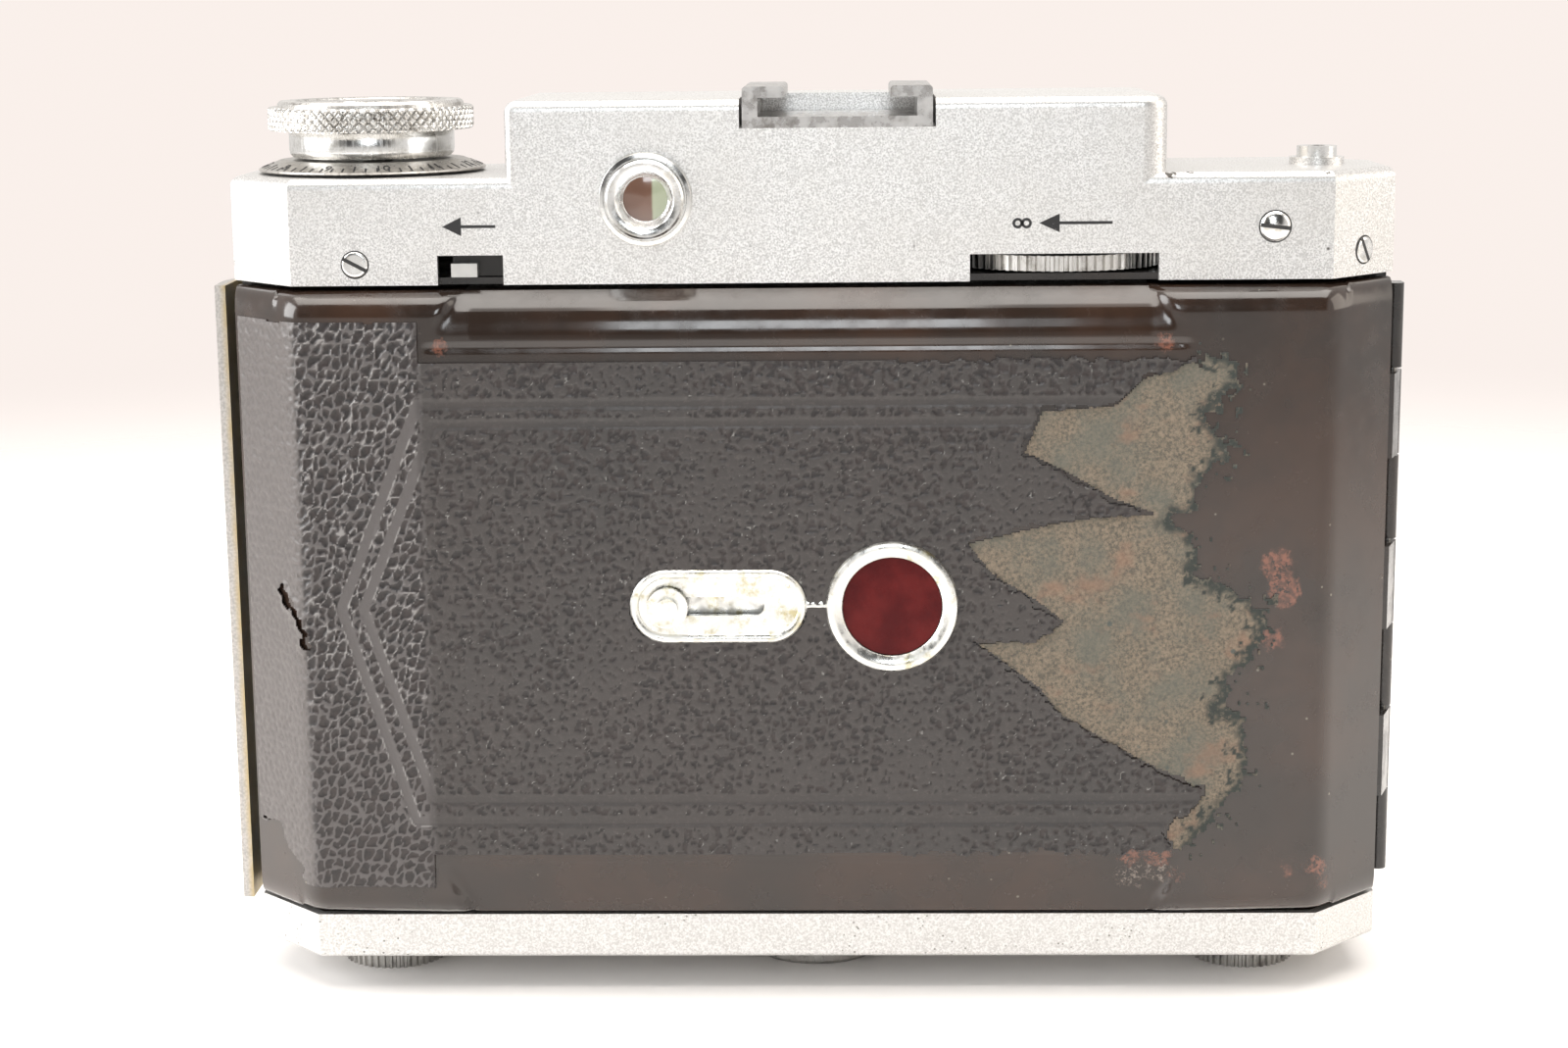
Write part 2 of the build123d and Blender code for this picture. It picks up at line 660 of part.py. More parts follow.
with BuildPart() as door_shell:
    add(DOOR_SOLID)
    with BuildSketch(Plane.XZ.offset(-DOOR_FACE_Y)):
        with Locations((WINDOW_X, WINDOW_Z)):
            Circle(6.0)
        with Locations((-12.4, SLIDER_Z)):
            SlotOverall(13.4, 2.2)
    extrude(amount=5, both=True, mode=Mode.SUBTRACT)
door_shell.part.label = "door_shell"
export_step(door_shell.part, "parts/door_shell.step")

HIDE_EDGE = [
    (-45.5, 19.0),
    (44.0, 19.0),
    (44.2, 22.5),
    (40.5, 24.5),
    (28.0, 32.5),
    (24.0, 38.0),
    (26.5, 43.0),
    (19.0, 52.0),
    (26.0, 62.0),
    (34.5, 70.0),
    (40.0, 76.5),
    (44.1, 77.0),
    (44.1, 79.2),
    (-45.5, 79.2),
]

with BuildPart() as hide_door:
    with BuildSketch(Plane.XZ.offset(-DOOR_FACE_Y)):
        Polygon(*HIDE_EDGE, align=None)
        with Locations((WINDOW_X, WINDOW_Z)):
            Circle(7.9, mode=Mode.SUBTRACT)
        with Locations((-11.15, SLIDER_Z)):
            RectangleRounded(21.3, 9.1, 4.5, mode=Mode.SUBTRACT)
    extrude(amount=HIDE_T)
hide_door.part.label = "hide_door"
export_step(hide_door.part, "parts/hide_door.step")

with BuildPart() as hide_end:
    with BuildSketch(Plane.XY.offset(14.0)):
        Polygon(
            (-45.5, DOOR_FACE_Y),
            (-61.2, -20.7),
            (-69.1, -12.8),
            (-69.45, -13.15),
            (-61.4, -21.2),
            (-45.5, DOOR_FACE_Y - HIDE_T),
            align=None,
        )
    extrude(amount=84.4 - 14.0)
hide_end.part.label = "hide_end"
export_step(hide_end.part, "parts/hide_end.step")

with BuildPart() as glue_patch:
    with BuildSketch(Plane.XZ.offset(-DOOR_FACE_Y)):
        Polygon((26.6, 46.0), (43.8, 49.0), (44.0, 70.0), (42.0, 74.0), (37.0, 71.0), (27.5, 61.5), (20.5, 52.5), align=None)
        Polygon((27.0, 44.0), (24.7, 38.5), (28.5, 33.5), (40.5, 25.5), (44.0, 28.0), (44.0, 47.0), align=None)
    extrude(amount=0.25)
glue_patch.part.label = "glue_patch"
export_step(glue_patch.part, "parts/glue_patch.step")

with BuildPart() as window_ring:
    with BuildSketch(Plane.XZ.offset(-DOOR_FACE_Y)):
        with Locations((WINDOW_X, WINDOW_Z)):
            Circle(7.85)
            Circle(5.95, mode=Mode.SUBTRACT)
    extrude(amount=1.1)
    ring_face = window_ring.faces().sort_by(Axis.Y)[0]
    fillet(ring_face.edges(), radius=0.35)
window_ring.part.label = "window_ring"
export_step(window_ring.part, "parts/window_ring.step")

with BuildPart() as window_glass:
    with BuildSketch(Plane.XZ.offset(-DOOR_FACE_Y - 0.6)):
        with Locations((WINDOW_X, WINDOW_Z)):
            Circle(5.9)
    extrude(amount=1.0)
window_glass.part.label = "window_glass"
export_step(window_glass.part, "parts/window_glass.step")

with BuildPart() as slot_plate:
    with BuildSketch(Plane.XZ.offset(-DOOR_FACE_Y)):
        with Locations((-11.15, SLIDER_Z)):
            RectangleRounded(21.1, 8.9, 4.4)
        with Locations((-12.4, SLIDER_Z)):
            SlotOverall(13.4, 2.2, mode=Mode.SUBTRACT)
    extrude(amount=0.75)
    plate_face = slot_plate.faces().sort_by(Axis.Y)[0]
    fillet(plate_face.outer_wire().edges(), radius=0.3)
slot_plate.part.label = "slot_plate"
export_step(slot_plate.part, "parts/slot_plate.step")

with BuildPart() as window_blind:
    add(box_at(-24.0, 16.5, -20.1, -19.7, 42.4, 57.0))
    with BuildSketch(Plane.XZ.offset(19.9)):
        with Locations((SLIDER_X, SLIDER_Z)):
            Circle(0.8)
    extrude(amount=2.7)
    with BuildSketch(Plane.XZ.offset(22.4)):
        with Locations((SLIDER_X, SLIDER_Z)):
            Circle(2.45)
    extrude(amount=0.7)
    with BuildSketch(Plane.XZ.offset(23.1)):
        with Locations((SLIDER_X, SLIDER_Z)):
            Circle(1.3)
    extrude(amount=0.7)
window_blind.part.label = "window_blind"
export_step(window_blind.part, "parts/window_blind.step")

with BuildPart() as blind_guides:
    for z0, z1, lip0, lip1 in ((40.6, 41.9, 41.9, 43.6), (57.5, 58.8, 55.8, 57.5)):
        add(box_at(-26.0, 30.0, -20.3, -18.8, z0, z1))
        add(box_at(-26.0, 30.0, -19.3, -18.8, lip0, lip1))
blind_guides.part.label = "blind_guides"
export_step(blind_guides.part, "parts/blind_guides.step")

# ---------------------------------------------------------------- piano hinge
hinge_plane = Plane.XY.offset(HINGE_Z0)

with BuildPart() as hinge_pin:
    with BuildSketch(hinge_plane):
        with Locations((HINGE_X, HINGE_Y)):
            Circle(HINGE_PIN_R)
    extrude(amount=7 * HINGE_PITCH - 0.3)
hinge_pin.part.label = "hinge_pin"
export_step(hinge_pin.part, "parts/hinge_pin.step")

with BuildPart() as hinge_body:
    for i in (0, 2, 4, 6):
        foot = HINGE_Z0 + i * HINGE_PITCH
        with BuildSketch(Plane.XY.offset(foot)):
            with Locations((HINGE_X, HINGE_Y)):
                Circle(HINGE_R)
        extrude(amount=KNUCKLE)
        add(box_at(COVER_HALF, HINGE_X + HINGE_R, HINGE_Y, -4.9, foot, foot + KNUCKLE))
    add(box_at(COVER_HALF, COVER_HALF + 0.7, -5.4, 0.5, HINGE_Z0, HINGE_Z0 + 6 * HINGE_PITCH + KNUCKLE))
    with BuildSketch(hinge_plane):
        with Locations((HINGE_X, HINGE_Y)):
            Circle(HINGE_PIN_R)
    extrude(amount=7 * HINGE_PITCH, mode=Mode.SUBTRACT)
hinge_body.part.label = "hinge_body"
export_step(hinge_body.part, "parts/hinge_body.step")

with BuildPart() as hinge_door:
    for i in (1, 3, 5):
        foot = HINGE_Z0 + i * HINGE_PITCH
        with BuildSketch(Plane.XY.offset(foot)):
            with Locations((HINGE_X, HINGE_Y)):
                Circle(HINGE_R)
            Polygon((69.6, -11.6), (69.6, -7.4), (71.9, -7.0), (71.7, -7.8), (70.3, -11.6), align=None)
            with Locations((HINGE_X, HINGE_Y)):
                Circle(HINGE_PIN_R + 0.06, mode=Mode.SUBTRACT)
        extrude(amount=KNUCKLE)
hinge_door.part.label = "hinge_door"
export_step(hinge_door.part, "parts/hinge_door.step")

# ---------------------------------------------------------------- latch bar at the left
with BuildPart() as latch_bar:
    with BuildSketch(Plane.XY.offset(9.6)):
        Polygon(
            (-71.3, -9.6),
            (-71.3, -2.2),
            (-70.7, -0.9),
            (-71.5, -0.1),
            (-72.6, -1.6),
            (-72.9, -4.5),
            (-72.6, -9.6),
            align=None,
        )
        with Locations((-71.0, -0.3)):
            Circle(0.7)
    extrude(amount=87.3 - 9.6)
latch_bar.part.label = "latch_bar"
export_step(latch_bar.part, "parts/latch_bar.step")

# ---------------------------------------------------------------- bellows, lens standard and shutter
with BuildPart() as bellows:
    pleats = 6
    step = (STANDARD_Y0 - (BOX_Y0 + BOX_WALL)) / pleats
    for i in range(pleats):
        near = BOX_Y0 + BOX_WALL + i * step
        outer = 30.5 - i * 1.1
        neck = outer - 1.6
        hole = 26.0 - i * 1.1
        with BuildSketch(Plane.XZ.offset(-near)):
            with Locations((0, AXIS_Z)):
                RectangleRounded(2 * outer, 2 * outer, 3.0)
                RectangleRounded(2 * hole, 2 * hole, 2.0, mode=Mode.SUBTRACT)
        extrude(amount=-0.55 * step)
        with BuildSketch(Plane.XZ.offset(-near - 0.55 * step)):
            with Locations((0, AXIS_Z)):
                RectangleRounded(2 * neck, 2 * neck, 2.5)
                RectangleRounded(2 * hole, 2 * hole, 2.0, mode=Mode.SUBTRACT)
        extrude(amount=-0.45 * step)
bellows.part.label = "bellows"
export_step(bellows.part, "parts/bellows.step")

with BuildPart() as standard_plate:
    with BuildSketch(Plane.XZ.offset(-STANDARD_Y0)):
        with Locations((0, AXIS_Z)):
            RectangleRounded(60.0, 50.0, 4.0)
            Circle(13.0, mode=Mode.SUBTRACT)
    extrude(amount=STANDARD_Y0 - STANDARD_Y1)
    for sign in (-1, 1):
        add(box_at(min(sign * 30, sign * 30.9), max(sign * 30, sign * 30.9), 1.8, 6.5, 34.0, 56.0))
        add(box_at(min(sign * 28, sign * 30), max(sign * 28, sign * 30), 3.0, 4.5, 34.0, 56.0))
        with BuildSketch(Plane.YZ.offset(sign * 30.9)):
            with Locations((4.0, REAR_PIN_Z), (4.0, FRONT_PIN_Z)):
                Circle(1.2)
        extrude(amount=sign * 0.9)
standard_plate.part.label = "standard_plate"
export_step(standard_plate.part, "parts/standard_plate.step")

with BuildPart() as lens_rear:
    with BuildSketch(Plane.XZ.offset(-STANDARD_Y1)):
        with Locations((0, AXIS_Z)):
            Circle(12.6)
            Circle(9.0, mode=Mode.SUBTRACT)
    extrude(amount=6.0)
lens_rear.part.label = "lens_rear"
export_step(lens_rear.part, "parts/lens_rear.step")

with BuildPart() as shutter_case:
    with BuildSketch(Plane.XZ.offset(-STANDARD_Y1)):
        with Locations((0, AXIS_Z)):
            Circle(19.8)
            Circle(9.0, mode=Mode.SUBTRACT)
    extrude(amount=-7.0)
    case_rim = shutter_case.faces().sort_by(Axis.Y)[-1]
    fillet(case_rim.outer_wire().edges(), radius=0.8)
    with BuildSketch(Plane.XZ.offset(-11.5)):
        with Locations((0, AXIS_Z)):
            Circle(13.4)
            Circle(9.0, mode=Mode.SUBTRACT)
    extrude(amount=-2.6)
shutter_case.part.label = "shutter_case"
export_step(shutter_case.part, "parts/shutter_case.step")

with BuildPart() as speed_ring:
    with BuildSketch(Plane.XZ.offset(-11.8)):
        with Locations((0, AXIS_Z)):
            Polygon(*toothed(18.6, 0.35, 96), align=None)
            Circle(13.46, mode=Mode.SUBTRACT)
    extrude(amount=-2.2)
speed_ring.part.label = "speed_ring"
export_step(speed_ring.part, "parts/speed_ring.step")

with BuildPart() as aperture_lever:
    with BuildSketch(Plane.XZ.offset(-6.2)):
        with Locations((0, AXIS_Z)):
            Circle(21.2)
            Circle(19.86, mode=Mode.SUBTRACT)
    extrude(amount=-1.4)
    with BuildSketch(Plane(origin=(0, 6.2, AXIS_Z), x_dir=(0.7071, 0, 0.7071), z_dir=(0, -1, 0))):
        with Locations((22.4, 0)):
            Rectangle(3.4, 3.0)
    extrude(amount=-1.4)
aperture_lever.part.label = "aperture_lever"
export_step(aperture_lever.part, "parts/aperture_lever.step")

with BuildPart() as lens_barrel:
    with BuildSketch(Plane.XZ.offset(-14.1)):
        with Locations((0, AXIS_Z)):
            Circle(15.0)
            Circle(9.0, mode=Mode.SUBTRACT)
    extrude(amount=-2.4)
    with BuildSketch(Plane.XZ.offset(-16.5)):
        with Locations((0, AXIS_Z)):
            Circle(13.0)
            Circle(10.6, mode=Mode.SUBTRACT)
    extrude(amount=-2.6)
lens_barrel.part.label = "lens_barrel"
export_step(lens_barrel.part, "parts/lens_barrel.step")

with BuildPart() as lens_glass:
    with BuildSketch(Plane.XZ.offset(-15.2)):
        with Locations((0, AXIS_Z)):
            Circle(8.9)
    extrude(amount=-1.3)
    with BuildSketch(Plane.XZ.offset(-16.5)):
        with Locations((0, AXIS_Z)):
            Circle(10.5)
    extrude(amount=-1.2)
lens_glass.part.label = "lens_glass"
export_step(lens_glass.part, "parts/lens_glass.step")

# ---------------------------------------------------------------- struts
REAR_DIR = (4.0 - BED_HINGE_Y, REAR_PIN_Z - BED_HINGE_Z)
REAR_SPAN = math.hypot(*REAR_DIR)
rear_angle = math.degrees(math.atan2(REAR_DIR[1], REAR_DIR[0]))
FRONT_DIR = (4.0 - STRUT_PIVOT_Y, FRONT_PIN_Z - STRUT_PIVOT_Z)
front_angle = math.degrees(math.atan2(FRONT_DIR[1], FRONT_DIR[0]))

with BuildPart() as struts_rear:
    for x_inner, x_outer in ((-34.2, -35.2), (34.2, 35.2)):
        with BuildSketch(Plane.YZ.offset(x_inner)):
            with Locations(Location((BED_HINGE_Y, BED_HINGE_Z), rear_angle)):
                with Locations((22.8, 0)):
                    SlotOverall(50.0, 4.2)
                with Locations((39.6, 0)):
                    SlotOverall(14.0, 2.2, mode=Mode.SUBTRACT)
                Circle(1.06, mode=Mode.SUBTRACT)
        extrude(amount=x_outer - x_inner)
struts_rear.part.label = "struts_rear"
export_step(struts_rear.part, "parts/struts_rear.step")

with BuildPart() as struts_front:
    for x_inner, x_outer in ((-32.3, -33.3), (32.3, 33.3)):
        with BuildSketch(Plane.YZ.offset(x_inner)):
            with Locations(Location((STRUT_PIVOT_Y, STRUT_PIVOT_Z), front_angle)):
                with Locations((20.0, 0)):
                    SlotOverall(44.2, 4.2)
                with Locations((34.9, 0)):
                    SlotOverall(11.2, 2.2, mode=Mode.SUBTRACT)
                Circle(0.86, mode=Mode.SUBTRACT)
        extrude(amount=x_outer - x_inner)
struts_front.part.label = "struts_front"
export_step(struts_front.part, "parts/struts_front.step")

# ---------------------------------------------------------------- bed
with BuildPart() as bed:
    with BuildSketch(Plane.XZ.offset(-30.2)):
        with Locations((0, 50.2)):
            RectangleRounded(66.0, 62.0, 5.0)
    with BuildSketch(Plane.XZ.offset(-27.8)):
        with Locations((0, 50.2)):
            RectangleRounded(75.0, 72.0, 3.0)
    loft()
    with BuildSketch(Plane.XZ.offset(-27.8)):
        with Locations((0, 50.2)):
            RectangleRounded(75.0, 72.0, 3.0)
    extrude(amount=3.4)
    with BuildSketch(Plane.XZ.offset(-24.0)):
        with Locations((0, 50.2)):
            RectangleRounded(72.4, 69.4, 2.0)
    extrude(amount=-2.6, mode=Mode.SUBTRACT)
    with BuildSketch(Plane.XZ.offset(-26.6)):
        with Locations((0, 50.2)):
            RectangleRounded(72.4, 69.4, 2.0)
    with BuildSketch(Plane.XZ.offset(-29.0)):
        with Locations((0, 50.2)):
            RectangleRounded(63.6, 59.6, 4.0)
    loft(mode=Mode.SUBTRACT)
    with BuildSketch(Plane.YZ.offset(-33.0)):
        Polygon((24.4, 14.4), (24.0, 12.0), (25.4, 11.3), (26.4, 12.4), (27.4, 15.6), (24.4, 15.6), align=None)
    extrude(amount=66.0)
    with BuildSketch(Plane.YZ.offset(-36.0)):
        with Locations((BED_HINGE_Y, BED_HINGE_Z)):
            Circle(1.06)
    extrude(amount=72.0, mode=Mode.SUBTRACT)
    add(box_at(33.8, 35.6, 24.0, 27.5, 13.0, 17.6), mode=Mode.SUBTRACT)
    add(box_at(-35.6, -33.8, 24.0, 27.5, 13.0, 17.6), mode=Mode.SUBTRACT)
    for sign in (-1, 1):
        with BuildSketch(Plane.YZ.offset(sign * 33.7)):
            Polygon((22.4, 68.0), (22.4, 71.0), (27.4, 73.8), (27.4, 65.2), align=None)
        extrude(amount=sign * 1.3)
        with BuildSketch(Plane.YZ.offset(sign * 31.9)):
            with Locations((STRUT_PIVOT_Y, STRUT_PIVOT_Z)):
                Circle(0.8)
        extrude(amount=sign * 2.2)
bed.part.label = "bed"
export_step(bed.part, "parts/bed.step")

with BuildPart() as bed_hide:
    with BuildSketch(Plane.XZ.offset(-30.2)):
        with Locations((0, 50.2)):
            RectangleRounded(64.0, 60.0, 4.5)
    extrude(amount=-HIDE_T)
bed_hide.part.label = "bed_hide"
export_step(bed_hide.part, "parts/bed_hide.step")

with BuildPart() as bed_pin:
    with BuildSketch(Plane.YZ.offset(-37.9)):
        with Locations((BED_HINGE_Y, BED_HINGE_Z)):
            Circle(1.0)
    extrude(amount=75.8)
    for sign in (-1, 1):
        with BuildSketch(Plane.YZ.offset(sign * 36.5)):
            Polygon((BOX_Y1, 11.7), (25.6, 11.4), (26.1, 12.5), (25.6, 13.6), (BOX_Y1, 14.4), align=None)
        extrude(amount=sign * 1.5)
bed_pin.part.label = "bed_pin"
export_step(bed_pin.part, "parts/bed_pin.step")

with BuildPart() as bed_button:
    with BuildSketch(Plane.XY.offset(WALL_Z1 + 1.6)):
        with Locations((-20.0, 18.0)):
            Circle(3.4)
    extrude(amount=1.4)
    with BuildSketch(Plane.XY.offset(WALL_Z1 - 2.4)):
        with Locations((-20.0, 18.0)):
            Circle(1.5)
    extrude(amount=4.2)
    button_top = bed_button.faces().sort_by(Axis.Z)[-1]
    fillet(button_top.edges(), radius=0.5)
bed_button.part.label = "bed_button"
export_step(bed_button.part, "parts/bed_button.step")
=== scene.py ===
from math import atan2, cos, pi, radians, sin, sqrt, tan

import bmesh
import bpy
import numpy as np
from mathutils import Matrix, Vector


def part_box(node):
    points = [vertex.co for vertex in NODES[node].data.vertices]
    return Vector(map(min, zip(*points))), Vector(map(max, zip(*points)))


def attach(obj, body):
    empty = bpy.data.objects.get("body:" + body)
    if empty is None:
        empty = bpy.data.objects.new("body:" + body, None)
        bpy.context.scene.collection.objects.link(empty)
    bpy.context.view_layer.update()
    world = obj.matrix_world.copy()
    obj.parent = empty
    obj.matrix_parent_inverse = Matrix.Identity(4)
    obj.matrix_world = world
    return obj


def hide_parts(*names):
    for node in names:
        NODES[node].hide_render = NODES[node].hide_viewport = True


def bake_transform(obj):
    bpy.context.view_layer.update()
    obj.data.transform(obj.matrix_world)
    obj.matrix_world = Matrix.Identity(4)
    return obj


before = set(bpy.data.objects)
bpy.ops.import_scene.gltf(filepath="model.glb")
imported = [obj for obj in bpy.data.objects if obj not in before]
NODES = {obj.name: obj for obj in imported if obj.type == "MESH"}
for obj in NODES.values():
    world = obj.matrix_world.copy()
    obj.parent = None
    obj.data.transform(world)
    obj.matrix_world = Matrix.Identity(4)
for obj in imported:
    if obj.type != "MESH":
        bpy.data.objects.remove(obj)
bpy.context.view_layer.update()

MM = 0.001


def corner(node):
    """Lowest and highest corners of a CAD node, in millimetres."""
    low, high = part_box(node)
    return np.array(low) * 1000, np.array(high) * 1000


# ------------------------------------------------------------------ materials
class Nodes:
    """Short calls for the shader nodes of one tree."""

    def __init__(self, tree, coord):
        self.tree = tree
        self.coord = tree.nodes.new("ShaderNodeTexCoord").outputs[coord]

    def plug(self, node, key, value):
        if isinstance(value, bpy.types.NodeSocket):
            self.tree.links.new(value, node.inputs[key])
        elif value is not None:
            node.inputs[key].default_value = value

    def node(self, kind, inputs, **settings):
        node = self.tree.nodes.new("ShaderNode" + kind)
        for key, value in settings.items():
            setattr(node, key, value)
        for key, value in inputs.items():
            self.plug(node, key, value)
        return node

    def stretched(self, scale):
        return self.node("Mapping", {"Vector": self.coord, "Scale": scale}).outputs["Vector"]

    def noise(self, scale, detail=3.0, roughness=0.55, vector=None, output="Fac"):
        inputs = {"Vector": vector or self.coord, "Scale": scale, "Detail": detail, "Roughness": roughness}
        return self.node("TexNoise", inputs).outputs[output]

    def cells(self, scale):
        inputs = {"Vector": self.coord, "Scale": scale, "Randomness": 1.0}
        return self.node("TexVoronoi", inputs, feature="F1").outputs["Distance"]

    def attribute(self, name):
        return self.node("Attribute", {}, attribute_name=name).outputs["Fac"]

    def steps(self, value, low, high, out_low=0.0, out_high=1.0, smooth=True):
        inputs = {"Value": value, "From Min": low, "From Max": high, "To Min": out_low, "To Max": out_high}
        kind = "SMOOTHSTEP" if smooth else "LINEAR"
        return self.node("MapRange", inputs, interpolation_type=kind).outputs["Result"]

    def math(self, operation, a, b):
        return self.node("Math", {0: a, 1: b}, operation=operation).outputs[0]

    def times(self, *values):
        total = values[0]
        for value in values[1:]:
            total = self.math("MULTIPLY", total, value)
        return total

    def band(self, axis, rise, fall):
        """Mask along an axis that rises from 0 to 1 over one stretch and falls back over another."""
        place = self.axis(axis)
        return self.times(self.steps(place, *rise), self.steps(place, *fall, 1.0, 0.0))

    def mix(self, fac, a, b):
        inputs = {0: fac, 6: (*a, 1.0) if isinstance(a, tuple) else a,
                  7: (*b, 1.0) if isinstance(b, tuple) else b}
        return self.node("Mix", inputs, data_type="RGBA").outputs[2]

    def bump(self, height, strength, distance):
        inputs = {"Strength": strength, "Distance": distance, "Height": height}
        return self.node("Bump", inputs).outputs["Normal"]

    def axis(self, name):
        return self.node("SeparateXYZ", {0: self.coord}).outputs[name]

    def near(self, spots, wobble, soft=0.5):
        """Mask that is 1 inside ragged spots, each (x, y, z, radius) in millimetres."""
        inputs = {0: self.noise(900, 4, 0.7, output="Color"), 1: (wobble * MM * 2,) * 3,
                  2: (-wobble * MM,) * 3}
        shift = self.node("VectorMath", inputs, operation="MULTIPLY_ADD")
        moved = self.node("VectorMath", {0: self.coord, 1: shift.outputs[0]})
        total = None
        for x, y, z, r in spots:
            gap = self.node("VectorMath", {0: moved.outputs[0], 1: (x * MM, y * MM, z * MM)},
                            operation="DISTANCE")
            spot = self.steps(gap.outputs["Value"], (r - soft) * MM, (r + soft) * MM, 1.0, 0.0)
            total = spot if total is None else self.math("MAXIMUM", total, spot)
        return total


class Material(Nodes):
    """A principled material, with calls for what drives its sockets."""

    def __init__(self, name, color, metallic=0.0, roughness=0.5, **sockets):
        self.mat = bpy.data.materials.new(name)
        self.mat.use_nodes = True
        super().__init__(self.mat.node_tree, "Object")
        self.bsdf = self.tree.nodes["Principled BSDF"]
        values = {"Base Color": (*color, 1.0), "Metallic": metallic, "Roughness": roughness}
        values.update({key.replace("_", " "): value for key, value in sockets.items()})
        for key, value in values.items():
            self.plug(self.bsdf, key, value)

    def link(self, output, socket):
        self.tree.links.new(output, self.bsdf.inputs[socket])

    def paint(self, output):
        self.link(output, "Base Color")

    def gloss(self, value, low, high, out_low, out_high):
        self.link(self.steps(value, low, high, out_low, out_high), "Roughness")

    def relief(self, height, strength, distance=0.00003):
        self.link(self.bump(height, strength, distance), "Normal")


def satin_chrome():
    m = Material("satin_chrome", (0.72, 0.72, 0.71), 1.0, 0.4)
    grain = m.noise(5200, 2, 0.6)
    wide = m.noise(90, 3)
    tone = m.mix(m.steps(grain, 0.34, 0.66), (0.52, 0.515, 0.51), (0.93, 0.93, 0.925))
    tone = m.mix(m.steps(wide, 0.35, 0.7, 0.0, 0.22), tone, (0.66, 0.64, 0.60))
    pits = m.steps(m.cells(230), 0.035, 0.075, 1.0, 0.0)
    pits = m.times(pits, m.steps(m.noise(40, 2), 0.52, 0.6))
    chips = m.near(CHIPS, 0.7, 0.15)
    chips = m.times(chips, m.steps(m.noise(1500, 3, 0.7), 0.47, 0.53))
    dark = m.math("MAXIMUM", pits, chips)
    m.paint(m.mix(dark, tone, (0.035, 0.028, 0.022)))
    m.link(m.steps(dark, 0.2, 0.8, 1.0, 0.15), "Metallic")
    m.gloss(grain, 0.3, 0.7, 0.46, 0.34)
    m.relief(grain, 0.5, 0.00002)
    return m.mat


CHIPS = [(41.3, -18.0, 103.6, 0.55), (41.0, -18.0, 102.4, 0.6), (42.4, -17.6, 100.6, 0.7),
         (44.6, -17.2, 100.5, 0.5),
         (-35.9, -18.0, 107.6, 0.4), (60.5, -17.6, 100.5, 0.5), (-70.0, -9.0, 90.0, 0.5)]


def bright_chrome(name, tint=(0.80, 0.80, 0.79), wear=(0.42, 0.36, 0.24), dirt=0.25, rough=0.2):
    m = Material(name, tint, 1.0, rough)
    blot = m.steps(m.noise(420, 5, 0.65), 0.5, 0.72)
    tone = m.mix(m.times(blot, dirt * 2), tint, wear)
    m.paint(tone)
    m.gloss(m.noise(700, 4, 0.6), 0.35, 0.75, rough * 0.7, rough * 1.9)
    m.relief(m.noise(2600, 3, 0.6), 0.18)
    return m.mat


def turned_metal(name, tint, rough, dark=(0.12, 0.11, 0.10)):
    m = Material(name, tint, 1.0, rough)
    rings = m.noise(3200, 2, 0.5, m.stretched((1.0, 1.0, 0.06)))
    stain = m.steps(m.noise(520, 5, 0.7), 0.48, 0.7, 0.0, 0.65)
    m.paint(m.mix(stain, tint, dark))
    m.gloss(rings, 0.3, 0.7, rough * 0.75, rough * 1.3)
    m.relief(rings, 0.25)
    return m.mat


def nub_metal():
    m = Material("nub_metal", (0.78, 0.78, 0.77), 0.9, 0.25)
    # Painted shade: the part of the nub inside the body, behind the slot, is painted near black and made
    # non-metallic.
    painted_slot_shade = m.steps(m.axis("Y"), -0.0172, -0.0168)
    m.paint(m.mix(painted_slot_shade, m.mix(m.noise(600), (0.62, 0.62, 0.60), (0.85, 0.85, 0.84)),
                  (0.012, 0.011, 0.010)))
    m.link(m.steps(painted_slot_shade, 0.0, 1.0, 1.0, 0.0), "Metallic")
    return m.mat


def blasted_plate():
    m = Material("blasted_plate", (0.83, 0.83, 0.82), 0.75, 0.45)
    grain = m.noise(4200, 3, 0.6)
    tone = m.mix(m.steps(grain, 0.35, 0.65), (0.58, 0.57, 0.555), (0.80, 0.795, 0.785))
    specks = m.steps(m.cells(1150), 0.10, 0.2, 1.0, 0.0)
    clusters = m.steps(m.noise(75, 4, 0.65), 0.5, 0.64)
    specks = m.times(specks, clusters)
    m.paint(m.mix(m.times(specks, 0.8), tone, (0.10, 0.10, 0.075)))
    m.relief(grain, 0.35)
    return m.mat


def latch_metal():
    m = Material("latch_metal", (0.60, 0.58, 0.56), 0.8, 0.4)
    grain = m.noise(3000, 3)
    tone = m.mix(m.steps(grain, 0.35, 0.65), (0.40, 0.385, 0.37), (0.56, 0.54, 0.52))
    inner = m.steps(m.axis("X"), -0.0722, -0.0712)
    inner = m.times(inner, m.steps(m.noise(260, 4), 0.3, 0.6, 0.5, 1.0))
    m.paint(m.mix(inner, tone, (0.50, 0.40, 0.22)))
    m.relief(grain, 0.3)
    return m.mat


